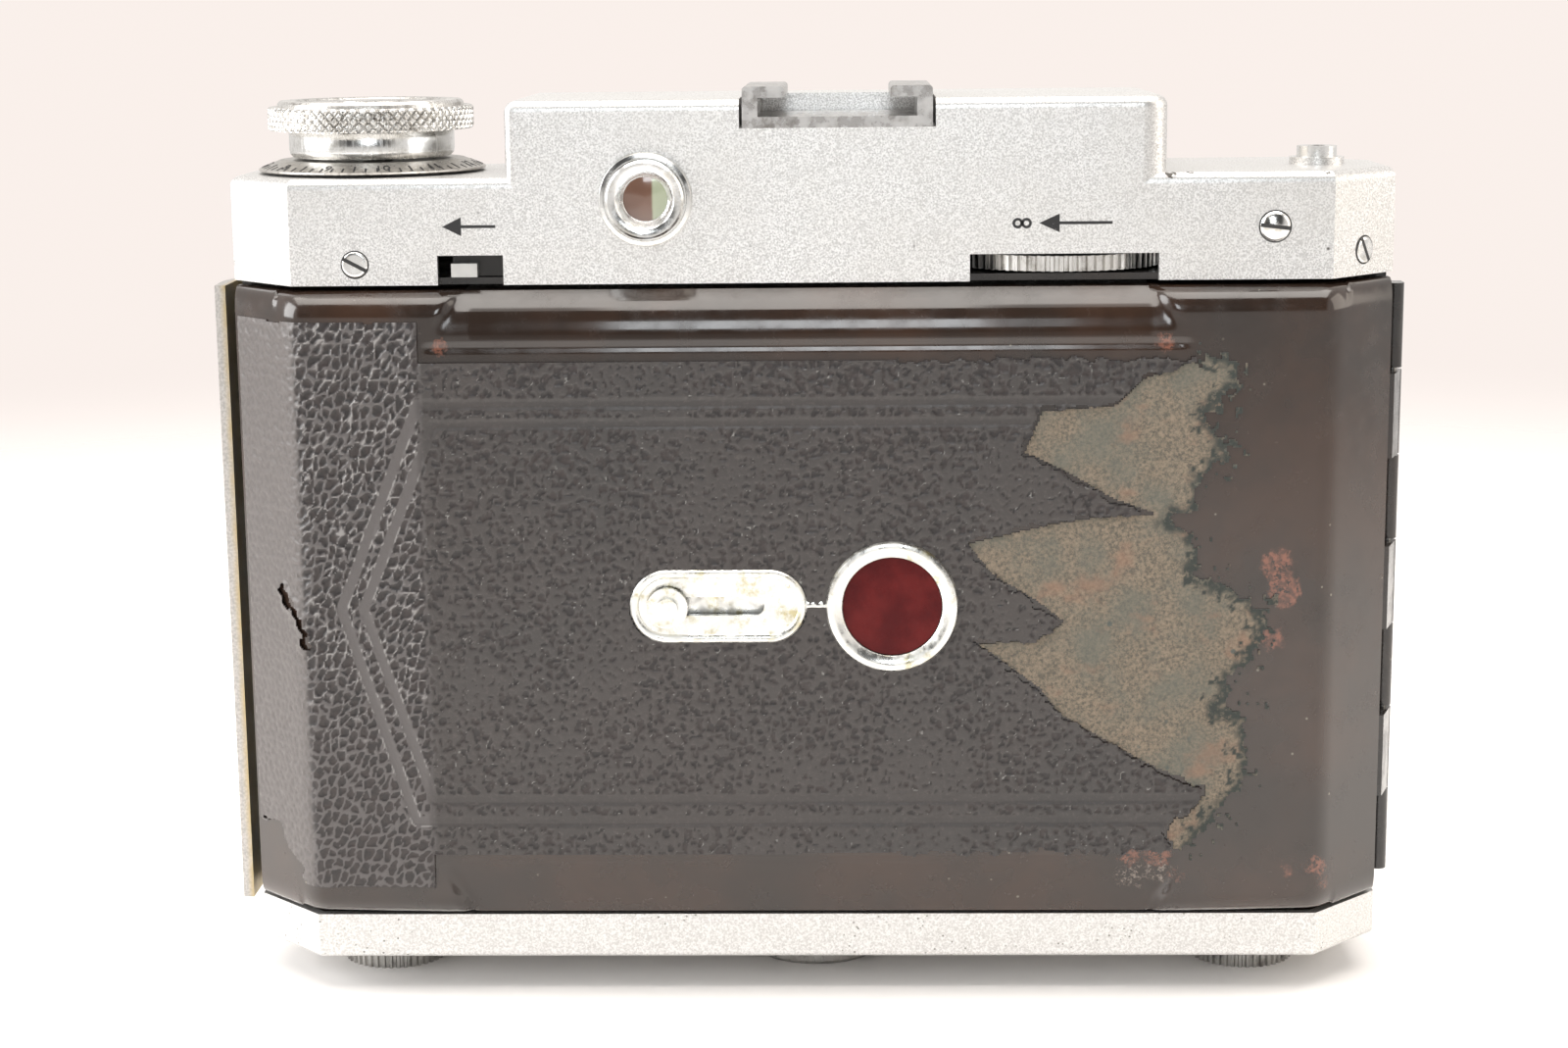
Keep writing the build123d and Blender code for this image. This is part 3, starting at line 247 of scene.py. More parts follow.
def enamel(name, base, chips=True, rough=0.16):
    m = Material(name, base, 0.0, rough, Coat_Weight=0.4, Coat_Roughness=0.06)
    wide = m.noise(55, 4, 0.6)
    brown = tuple(c * k for c, k in zip(base, (1.9, 1.5, 1.25)))
    tone = m.mix(m.steps(wide, 0.35, 0.7), base, brown)
    dust = m.steps(m.cells(310), 0.03, 0.07, 1.0, 0.0)
    dust = m.times(dust, m.steps(m.noise(60, 3), 0.46, 0.6))
    tone = m.mix(m.times(dust, 0.55), tone, (0.33, 0.31, 0.25))
    if chips:
        primer = m.times(m.near(PRIMER, 1.5, 0.35), m.steps(m.noise(1700, 5, 0.75), 0.40, 0.5))
        tone = m.mix(primer, tone, m.mix(m.steps(m.noise(1300, 4), 0.4, 0.62), (0.19, 0.075, 0.048),
                                         (0.075, 0.036, 0.026)))
        scuff = m.times(m.near(SCUFFS, 2.2, 0.5), m.steps(m.noise(1500, 5, 0.8), 0.5, 0.58))
        tone = m.mix(scuff, tone, (0.17, 0.14, 0.12))
    m.paint(tone)
    m.gloss(m.noise(240, 5, 0.65), 0.35, 0.75, rough * 0.7, rough * 2.1)
    hair = m.noise(700, 2, 0.5, m.stretched((1.0, 1.0, 0.12)))
    m.relief(hair, 0.06)
    # Painted reflection, set with the chips flag: along the roll above the leather the specular and coat are
    # turned down so it reads dark, except along a streak where the highlight is kept.
    if chips:
        roll = m.times(m.band("Z", (0.0816, 0.0822), (0.0853, 0.0857)),
                       m.band("X", (-0.0405, -0.0395), (0.0395, 0.0405)))
        highlight_streak = m.band("X", (-0.0300, -0.0180), (0.0150, 0.0260))
        highlight_streak = m.times(highlight_streak, m.steps(m.axis("Z"), 0.0824, 0.0830))
        roll = m.times(roll, m.math("SUBTRACT", 1.0, highlight_streak))
        m.link(m.steps(roll, 0.0, 1.0, 0.5, 0.12), "Specular IOR Level")
        m.link(m.steps(roll, 0.0, 1.0, 0.4, 0.22), "Coat Weight")
    return m.mat


PRIMER = [(55.4, -21, 54.4, 1.9), (56.2, -21, 51.2, 1.9), (55.0, -21, 45.4, 1.3), (38.4, -21.5, 18.4, 1.1),
          (41.6, -21.5, 18.6, 1.5), (44.2, -20.5, 16.0, 1.0), (60.9, -20, 16.9, 1.3),
          (61.4, -19.2, 14.6, 1.0),
          (41.6, -21.4, 81.1, 1.1), (-43.6, -21.4, 81.0, 0.8), (57.4, -20.4, 16.4, 0.7),
          (43.6, -20.0, 13.6, 0.7)]
SCUFFS = [(38.6, -21, 15.9, 1.8), (42.0, -20.5, 16.4, 1.6), (-46.6, -20.6, 82.6, 0.6),
          (-47.5, -20.5, 15.6, 0.8)]


def leather():
    m = Material("leatherette", (0.045, 0.043, 0.043), 0.0, 0.42, Coat_Weight=0.2, Coat_Roughness=0.28)
    pit, rim, end, fold = (m.attribute(key) for key in ("pit", "rim", "end", "fold"))
    fine = m.noise(3800, 4, 0.65)
    ground = m.mix(m.steps(m.noise(28, 4, 0.6), 0.35, 0.7), (0.037, 0.031, 0.029), (0.030, 0.027, 0.026))
    # Painted light: the end panels, which face the side light, get a lighter ground, and the chamfer fold a
    # lighter one still.
    ground = m.mix(end, ground, (0.082, 0.074, 0.073))
    ground = m.mix(fold, ground, (0.10, 0.088, 0.084))
    ground = m.mix(m.steps(m.noise(1600, 4, 0.7), 0.5, 0.75, 0.0, 0.45), ground, (0.085, 0.072, 0.066))
    # Painted shade: pit and cell floors are painted far darker than the ground; on the chamfer fold they are
    # painted lighter, with its painted light.
    floor = m.mix(fold, m.mix(m.steps(m.noise(900, 3), 0.4, 0.6), (0.010, 0.007, 0.007),
                              (0.022, 0.015, 0.014)), (0.055, 0.049, 0.046))
    tone = m.mix(m.steps(pit, 0.2, 0.8), ground, floor)
    # Painted highlights: pit rims and grain ridges are painted light grey, a little darker on the end panels.
    tone = m.mix(m.steps(rim, 0.35, 1.0, 0.0, 0.55), tone, m.mix(end, (0.42, 0.42, 0.40), (0.34, 0.33, 0.32)))
    m.paint(tone)
    m.gloss(m.noise(1900, 3, 0.6), 0.3, 0.7, 0.3, 0.52)
    m.relief(fine, 0.5, 0.00007)
    return m.mat


def residue():
    m = Material("cloth_residue", (0.22, 0.20, 0.14), 0.0, 0.92, Sheen_Weight=0.25, Sheen_Roughness=0.5)
    weave = m.noise(2600, 4, 0.75)
    big = m.noise(150, 4, 0.6)
    tone = m.mix(m.steps(weave, 0.3, 0.7), (0.075, 0.070, 0.055), (0.235, 0.185, 0.135))
    tone = m.mix(m.steps(big, 0.42, 0.68, 0.0, 0.65), tone, (0.105, 0.110, 0.092))
    tone = m.mix(m.steps(m.noise(210, 3, 0.5, m.stretched((1, 1, 1.3))), 0.55, 0.72, 0.0, 0.5), tone,
                 (0.24, 0.135, 0.09))
    specks = m.steps(m.cells(520), 0.10, 0.22, 0.8, 0.0)
    specks = m.times(specks, m.steps(m.noise(120, 3), 0.5, 0.62))
    tone = m.mix(specks, tone, (0.055, 0.075, 0.07))
    rim = m.times(m.attribute("rim"), m.steps(m.noise(1300, 4, 0.7), 0.36, 0.5))
    tone = m.mix(rim, tone, (0.028, 0.034, 0.030))
    m.paint(tone)
    m.relief(weave, 0.8, 0.00012)
    return m.mat


def red_glass():
    m = Material("red_window", (0.07, 0.005, 0.005), 0.0, 0.22, Specular_IOR_Level=0.12)
    m.paint(m.mix(m.steps(m.noise(260, 4, 0.6), 0.35, 0.7), (0.065, 0.005, 0.006), (0.105, 0.010, 0.010)))
    m.gloss(m.noise(900, 5, 0.7), 0.4, 0.7, 0.18, 0.34)
    return m.mat


def painted_finder_view():
    m = Material("finder_glass_painted_view", (0.3, 0.2, 0.15), 0.0, 0.08, Coat_Weight=1.0, Coat_Roughness=0.03)
    # Painted light: the glass is painted brown on its left part and greenish grey on its right, standing in
    # for what shows in the eyepiece rather than a tint of the glass.
    painted_view_split = m.steps(m.math("ADD", m.axis("X"), m.times(m.noise(120), 0.0006)), EYE_X + 0.00095,
                    EYE_X + 0.0013)
    m.paint(m.mix(painted_view_split, (0.19, 0.105, 0.075), (0.42, 0.46, 0.33)))
    m.gloss(m.noise(1500, 3), 0.3, 0.7, 0.05, 0.15)
    return m.mat


def coated_glass(name, tint):
    m = Material(name, tint, 0.0, 0.04, Coat_Weight=1.0, Coat_Roughness=0.02)
    m.paint(m.mix(m.steps(m.noise(45, 2), 0.35, 0.65), tint, tuple(c * 1.8 for c in tint)))
    m.gloss(m.noise(900, 3), 0.3, 0.7, 0.03, 0.07)
    return m.mat


def matt_black(name, base=(0.018, 0.018, 0.018), rough=0.55):
    m = Material(name, base, 0.0, rough)
    m.paint(m.mix(m.steps(m.noise(300, 4), 0.4, 0.7), base, tuple(c * 2.2 for c in base)))
    m.relief(m.noise(3500, 3), 0.25)
    return m.mat


def ink():
    m = Material("ink", (0.012, 0.012, 0.012), 0.0, 0.5)
    m.paint(m.mix(m.steps(m.noise(2600, 3), 0.62, 0.74), (0.010, 0.010, 0.011), (0.16, 0.16, 0.16)))
    return m.mat


def bellows_cloth():
    m = Material("bellows_cloth", (0.022, 0.022, 0.023), 0.0, 0.8, Sheen_Weight=0.2)
    weave = m.noise(3200, 3, 0.6)
    m.paint(m.mix(m.steps(weave, 0.35, 0.65), (0.014, 0.014, 0.015), (0.04, 0.04, 0.041)))
    m.relief(weave, 0.5, 0.00006)
    return m.mat


# ------------------------------------------------------------------ mesh helpers
SHARP = radians(38)
WELD_GAP = 0.000002
BOX_FACES = [(0, 1, 2, 3), (7, 6, 5, 4), (0, 4, 5, 1), (1, 5, 6, 2), (2, 6, 7, 3), (3, 7, 4, 0)]


def added(name, data):
    """New object of the scene holding that data."""
    item = bpy.data.objects.new(name, data)
    bpy.context.scene.collection.objects.link(item)
    return item


def finish_mesh(name, verts, faces, material, body, smooth=True, hide=()):
    mesh = bpy.data.meshes.new(name)
    mesh.from_pydata([tuple(v) for v in np.asarray(verts) * MM], [], faces)
    mesh.validate()
    piece = added(name, mesh)
    mesh.materials.append(material)
    build = bmesh.new()
    build.from_mesh(mesh)
    bmesh.ops.recalc_face_normals(build, faces=build.faces)
    for face in build.faces:
        face.smooth = smooth
    if smooth:
        for edge in build.edges:
            if len(edge.link_faces) == 2 and edge.calc_face_angle(0.0) > SHARP:
                edge.smooth = False
    build.to_mesh(mesh)
    build.free()
    if body:
        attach(piece, body)
    if hide:
        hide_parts(*hide)
    return piece


def quads(rows, n, base=0, flip=False):
    """Faces between neighbouring closed rows of n points each."""
    faces = []
    for k in range(rows - 1):
        for i in range(n):
            j = (i + 1) % n
            low, high = base + k * n, base + (k + 1) * n
            face = (low + i, low + j, high + j, high + i)
            faces.append((high + i, high + j, low + j, low + i) if flip else face)
    return faces


def lathe(profile, centre, axis, steps=128):
    """Closed ring or disc: profile is (radius, height) in millimetres about a centre, along Y or Z."""
    verts, faces = [], []
    rows = len(profile)
    for i in range(steps):
        a = 2 * pi * i / steps
        for r, h in profile:
            if axis == "Y":
                verts.append((centre[0] + r * cos(a), h, centre[1] + r * sin(a)))
            else:
                verts.append((centre[0] + r * cos(a), centre[1] + r * sin(a), h))
    for i in range(steps):
        j = (i + 1) % steps
        for k in range(rows - 1):
            faces.append((i * rows + k, j * rows + k, j * rows + k + 1, i * rows + k + 1))
    return verts, faces


def weld(piece):
    build = bmesh.new()
    build.from_mesh(piece.data)
    bmesh.ops.remove_doubles(build, verts=build.verts, dist=WELD_GAP)
    bmesh.ops.recalc_face_normals(build, faces=build.faces)
    build.to_mesh(piece.data)
    build.free()


def turned(name, profile, centre, axis, steps, material, body, hide=()):
    """Piece turned from a profile, with its poles and its seam welded."""
    verts, faces = lathe(profile, centre, axis, steps)
    weld(finish_mesh(name, verts, faces, material, body, hide=hide))


def round_size(node):
    """Centre (x, y), radius, bottom and top of a round upright CAD node, in millimetres."""
    low, high = corner(node)
    return (low[0] + high[0]) / 2, (low[1] + high[1]) / 2, (high[0] - low[0]) / 2, low[2], high[2]


def join_lists(*parts):
    verts, faces = [], []
    for v, f in parts:
        base = len(verts)
        verts += list(v)
        faces += [tuple(i + base for i in face) for face in f]
    return verts, faces


def prism(outline, y0, y1):
    """Flat closed outline of (x, z) points, extruded from y0 to y1."""
    n = len(outline)
    verts = [(x, y0, z) for x, z in outline] + [(x, y1, z) for x, z in outline]
    faces = [tuple(range(n)), tuple(range(2 * n - 1, n - 1, -1))]
    faces += [(i, (i + 1) % n, n + (i + 1) % n, n + i) for i in range(n)]
    return verts, faces


def smooth01(t):
    t = np.clip(t, 0, 1)
    return t * t * (3 - 2 * t)


def hump(offset, width):
    return np.exp(-((offset / width) ** 2))


def soft_max(a, b, k):
    h = np.clip(0.5 + 0.5 * (a - b) / k, 0, 1)
    return a * h + b * (1 - h) + k * h * (1 - h)


def hash2(ix, iz, seed):
    """Repeatable random number from 0 to 1 for each pair of whole numbers."""
    n = (ix.astype(np.int64) * 374761393 + iz.astype(np.int64) * 668265263 + seed * 974634777) & 0xFFFFFFFF
    n = ((n ^ (n >> 13)) * 1274126177) & 0xFFFFFFFF
    return ((n ^ (n >> 16)) & 0xFFFF) / 65535.0


def value_noise(x, z, scale, seed):
    x, z = x / scale, z / scale
    ix, iz = np.floor(x), np.floor(z)
    fx, fz = smooth01(x - ix), smooth01(z - iz)
    a, b = hash2(ix, iz, seed), hash2(ix + 1, iz, seed)
    c, d = hash2(ix, iz + 1, seed), hash2(ix + 1, iz + 1, seed)
    return (a * (1 - fx) + b * fx) * (1 - fz) + (c * (1 - fx) + d * fx) * fz


def grain_cells(x, z, width, height, seed, warp=0.35):
    """Distance to the nearest jittered cell centre, gap to the next one, and the cell's random number."""
    x = x / width + warp * (value_noise(x, z, 0.55, seed + 5) - 0.5) + 0.5 * (value_noise(x, z, 3.1,
                                                                                          seed + 6) - 0.5)
    z = z / height + warp * (value_noise(x * width, z, 0.5, seed + 9) - 0.5)
    ix, iz = np.floor(x), np.floor(z)
    first = np.full(x.shape, 9.0)
    second = np.full(x.shape, 9.0)
    chance = np.zeros(x.shape)
    for dx in (-1, 0, 1):
        for dz in (-1, 0, 1):
            cx = ix + dx + 0.12 + 0.76 * hash2(ix + dx, iz + dz, seed)
            cz = iz + dz + 0.12 + 0.76 * hash2(ix + dx, iz + dz, seed + 1)
            gap = np.hypot(cx - x, cz - z)
            closer = gap < first
            second = np.where(closer, first, np.minimum(second, gap))
            chance = np.where(closer, hash2(ix + dx, iz + dz, seed + 2), chance)
            first = np.where(closer, gap, first)
    return first, second - first, chance


def jagged(X, Z, coarse, fine, seed):
    """The grid's points shifted at random: coarse and fine are (reach, pitch)."""
    moved = []
    for flat, first in ((X, seed), (Z, seed + 2)):
        for k, (reach, pitch) in enumerate((coarse, fine)):
            flat = flat + reach * (value_noise(X, Z, pitch, first + k) - 0.5)
        moved.append(flat)
    return moved


def inside(x, z, outline):
    """Whether each point lies in a polygon."""
    result = np.zeros(x.shape, bool)
    for (x0, z0), (x1, z1) in zip(outline, outline[1:] + outline[:1]):
        cross = (z0 > z) != (z1 > z)
        with np.errstate(divide="ignore", invalid="ignore"):
            at = (x1 - x0) * (z - z0) / (z1 - z0 if z1 != z0 else 1e-9) + x0
        result ^= cross & (x < at)
    return result


def path_gap(x, z, path):
    """Distance from each point to an open line of points."""
    best = np.full(x.shape, 1e9)
    for (x0, z0), (x1, z1) in zip(path, path[1:]):
        dx, dz = x1 - x0, z1 - z0
        t = np.clip(((x - x0) * dx + (z - z0) * dz) / (dx * dx + dz * dz), 0, 1)
        best = np.minimum(best, np.hypot(x - x0 - t * dx, z - z0 - t * dz))
    return best


def skin(name, X, Z, Y, keep, depth, material, body, hide=(), attributes=None):
    """Sheet over a grid, kept where keep is true, with a skirt of that depth round its edges."""
    rows, cols = X.shape
    cell = keep[:-1, :-1] & keep[1:, :-1] & keep[:-1, 1:] & keep[1:, 1:]
    used = np.zeros(X.shape, bool)
    used[:-1, :-1] |= cell
    used[1:, :-1] |= cell
    used[:-1, 1:] |= cell
    used[1:, 1:] |= cell
    index = np.cumsum(used.ravel()).reshape(X.shape) - 1
    top = np.stack([X[used], Y[used], Z[used]], 1)
    low = top + np.array(depth)
    count = len(top)
    faces = []
    side = []
    for r, c in zip(*np.nonzero(cell)):
        a, b, d, e = index[r, c], index[r, c + 1], index[r + 1, c + 1], index[r + 1, c]
        faces.append((a, b, d, e))
        if r == 0 or not cell[r - 1, c]:
            side.append((a, b))
        if r == rows - 2 or not cell[r + 1, c]:
            side.append((d, e))
        if c == 0 or not cell[r, c - 1]:
            side.append((e, a))
        if c == cols - 2 or not cell[r, c + 1]:
            side.append((b, d))
    back = [(f[3] + count, f[2] + count, f[1] + count, f[0] + count) for f in faces]
    walls = [(b, a, a + count, b + count) for a, b in side]
    piece = finish_mesh(name, np.concatenate([top, low]), faces + back + walls, material, body,
                        hide=hide)
    for key, values in (attributes or {}).items():
        layer = piece.data.attributes.new(key, "FLOAT", "POINT")
        flat = np.concatenate([values[used], values[used]]).astype(np.float32)
        layer.data.foreach_set("value", flat)
    return piece


def grid(x0, x1, z0, z1, pitch):
    xs = np.linspace(x0, x1, int(round((x1 - x0) / pitch)) + 1)
    zs = np.linspace(z0, z1, int(round((z1 - z0) / pitch)) + 1)
    return np.meshgrid(xs, zs)


# ------------------------------------------------------------------ sizes read from the frame
DOOR_LOW, DOOR_HIGH = corner("door_shell")
FACE_Y = DOOR_LOW[1]
RIM_Y = DOOR_HIGH[1]
DOOR_Z0, DOOR_Z1 = DOOR_LOW[2], DOOR_HIGH[2]
HALF_X = DOOR_HIGH[0]
MID_Z = (DOOR_Z0 + DOOR_Z1) / 2 - 0.1
PANEL_X0, PANEL_X1 = -45.5, 44.6
RING_C = (corner("window_ring")[0] + corner("window_ring")[1]) / 2
PLATE_LOW, PLATE_HIGH = corner("slot_plate")
PLATE_Z = (PLATE_LOW[2] + PLATE_HIGH[2]) / 2
SHELL_T = 1.15
SLOT_HALF = 1.15
SLOT_X = -12.4
ARC = 48
EYE_LOW, EYE_HIGH = corner("eyepiece_ring")
EYE_X = (EYE_LOW[0] + EYE_HIGH[0]) / 2 * MM
EYE_Z = (EYE_LOW[2] + EYE_HIGH[2]) / 2


def door_depth(x, z):
    """How far the door's outer face lies in front of its deepest plane, in millimetres."""
    out = np.maximum(PANEL_X0 - x, x - PANEL_X1)
    slope = np.clip(out, 0, None) * 0.05
    fold = np.abs(x) - 61.2 + 0.8
    ends = soft_max(slope, fold, 1.3)
    edge = np.maximum(z - (DOOR_Z1 - 3.0), DOOR_Z0 + 3.0 - z)
    edge = np.clip(edge, 0, 3.0)
    rim = 3.0 - np.sqrt(np.clip(9.0 - edge**2, 0, 9))
    body = ends + rim * np.where(ends > 3, 0.6, 1.0)
    roll = 6.0 - np.sqrt(36.0 - np.clip(np.clip(z, 82.0, 85.7) - 82.0, 0, 5.9) ** 2)
    strip = np.clip(z - 85.7, 0, None) / (DOOR_Z1 - 85.7) * 1.95
    lips = 0.22 * hump(z - 80.95, 0.3) + 0.14 * hump(z - 85.75, 0.16)
    top = roll + strip + lips
    t = np.clip((18.6 - z) / (18.6 - DOOR_Z0), 0, 1)
    low = 2.7 * t**1.15
    dip = np.maximum(top, low)
    lean = np.where(z > MID_Z, np.clip((z - 80.2) / 6.6, 0, 1), np.clip((19.0 - z) / 8.0, 0, 1)) * 3.6
    x0, x1 = PANEL_X0 + lean, PANEL_X1 - lean
    within = smooth01(np.minimum(x - x0, x1 - x) / 2.1 + 0.5)
    return np.maximum(body * (1 - within) + np.maximum(dip, slope) * within, 0)


def door_piece(material):
    """The pressed shell, both faces and its turned edge, as one closed sheet."""
    X, Z = grid(-HALF_X, HALF_X, DOOR_Z0, DOOR_Z1, 0.35)
    outer = FACE_Y + door_depth(X, Z)
    outer = np.minimum(outer, RIM_Y - 0.4)
    groove = hump(Z - 18.1, 0.22) * 0.12 * ((X > PANEL_X0) & (X < PANEL_X1))
    outer = outer + groove
    inner_x = X * (HALF_X - SHELL_T) / HALF_X
    inner_z = MID_Z + (Z - MID_Z) * (DOOR_Z1 - MID_Z - SHELL_T) / (DOOR_Z1 - MID_Z)
    inner = np.minimum(outer + SHELL_T, RIM_Y - 0.2)
    hole = np.hypot(X - RING_C[0], Z - RING_C[2]) < 6.0
    hole |= (np.abs(Z - PLATE_Z) < SLOT_HALF) & (X > -19.2) & (X < -5.6)
    rows, cols = X.shape
    n = rows * cols
    verts = np.concatenate([
        np.stack([X, outer, Z], -1).reshape(-1, 3),
        np.stack([inner_x, inner, inner_z], -1).reshape(-1, 3),
    ])
    faces = []
    gone = hole[:-1, :-1] | hole[1:, :-1] | hole[:-1, 1:] | hole[1:, 1:]
    for r in range(rows - 1):
        for c in range(cols - 1):
            if gone[r, c]:
                continue
            a = r * cols + c
            faces.append((a, a + 1, a + cols + 1, a + cols))
            faces.append((a + cols + n, a + cols + 1 + n, a + 1 + n, a + n))
    for r, c in zip(*np.nonzero(gone)):
        a, b, d, e = r * cols + c, r * cols + c + 1, (r + 1) * cols + c + 1, (r + 1) * cols + c
        for near, pair in (((r - 1, c), (b, a)), ((r, c + 1), (d, b)), ((r + 1, c), (e, d)),
                           ((r, c - 1), (a, e))):
            if not gone[near]:
                faces.append((pair[0], pair[1], pair[1] + n, pair[0] + n))
    edge = list(range(cols))
    edge += [r * cols + cols - 1 for r in range(1, rows)]
    edge += [(rows - 1) * cols + c for c in range(cols - 2, -1, -1)]
    edge += [r * cols for r in range(rows - 2, 0, -1)]
    base = len(verts)
    lip_out = verts[edge].copy()
    lip_in = verts[[e + n for e in edge]].copy()
    lip_out[:, 1] = RIM_Y
    lip_in[:, 1] = RIM_Y
    verts = np.concatenate([verts, lip_out, lip_in])
    m = len(edge)
    for i in range(m):
        j = (i + 1) % m
        faces.append((edge[j], edge[i], base + i, base + j))
        faces.append((base + j, base + i, base + m + i, base + m + j))
        faces.append((base + m + j, base + m + i, edge[i] + n, edge[j] + n))
    return finish_mesh("door_pressing", verts, faces, material, "back_door",
                       hide=("door_shell",))


# Edge of the torn leatherette and of the cloth left behind it, (x, z) in millimetres
TEAR = [(43.4, 19.1), (42.4, 21.3), (43.5, 23.5), (45.5, 24.2), (47.5, 27.0), (44.8, 27.7), (39.2, 30.6),
        (34.4, 33.4),
        (29.6, 36.2), (27.2, 39.4), (22.4, 43.0), (19.2, 45.2), (26.5, 45.4), (29.9, 47.7), (26.5, 50.3),
        (21.6, 53.2),
        (18.3, 57.3), (28.2, 59.6), (34.4, 60.5), (40.6, 60.7), (35.8, 62.4), (30.3, 65.6), (25.1, 68.1),
        (27.2, 73.1),
        (35.8, 73.8), (39.2, 77.0), (45.3, 78.8)]
HIDE = [(PANEL_X0 - 0.8, 18.9)] + TEAR + [(44.9, 79.3), (PANEL_X0 - 0.8, 79.3)]
CLOTH = [(45.1, 80.8), (49.6, 79.5), (50.3, 75.9), (46.8, 72.0), (48.9, 69.2), (49.3, 67.4), (46.2, 65.6),
         (45.1, 61.0),
         (42.7, 60.3), (45.1, 57.8), (45.8, 53.9), (48.9, 52.1), (54.4, 48.9), (53.8, 44.4), (50.0, 40.1),
         (48.9, 37.3),
         (52.4, 36.2), (51.7, 32.3), (52.4, 29.5), (49.6, 24.2), (46.2, 21.3), (45.1, 19.5)]
LINE_OUT = [(46.0, 74.3), (-46.4, 74.3), (-56.4, 49.5), (-48.2, 23.2), (46.0, 23.2)]
LINE_IN = [(46.0, 71.9), (-44.6, 71.9), (-53.7, 49.5), (-46.0, 25.9), (46.0, 25.9)]


def pits(X, Z, size, seed, worn):
    """Scattered dents in smooth leather: depth, floors for painted shade and rims for painted highlights."""
    first, rest, chance = grain_cells(X, Z, size, size * 1.1, seed, 0.75)
    reach = (0.27 + 0.27 * chance) * worn
    dent = 1 - smooth01((first - reach * 0.7) / 0.16)
    dent = dent * smooth01(rest / 0.10)
    # Painted highlight: a thin ring just outside each dent.
    rim = hump(first - reach - 0.02, 0.07) * smooth01(rest / 0.15)
    return dent, dent, rim


def mesh_grain(X, Z, size, seed):
    """Close cells fenced by thin raised ridges."""
    first, rest, chance = grain_cells(X, Z, size, size * 1.35, seed, 0.38)
    # Painted highlight on the thin ridges; the cell floors come back as the mask for painted shade.
    painted_ridge_highlight = hump(rest, 0.13)
    broken = 0.25 + 0.75 * smooth01((value_noise(X, Z, 1.3, seed + 3) - 0.35) / 0.3)
    painted_ridge_highlight = painted_ridge_highlight * broken
    floor = smooth01((rest - 0.04) / 0.30)
    return floor * (0.8 + 0.4 * chance), floor, painted_ridge_highlight


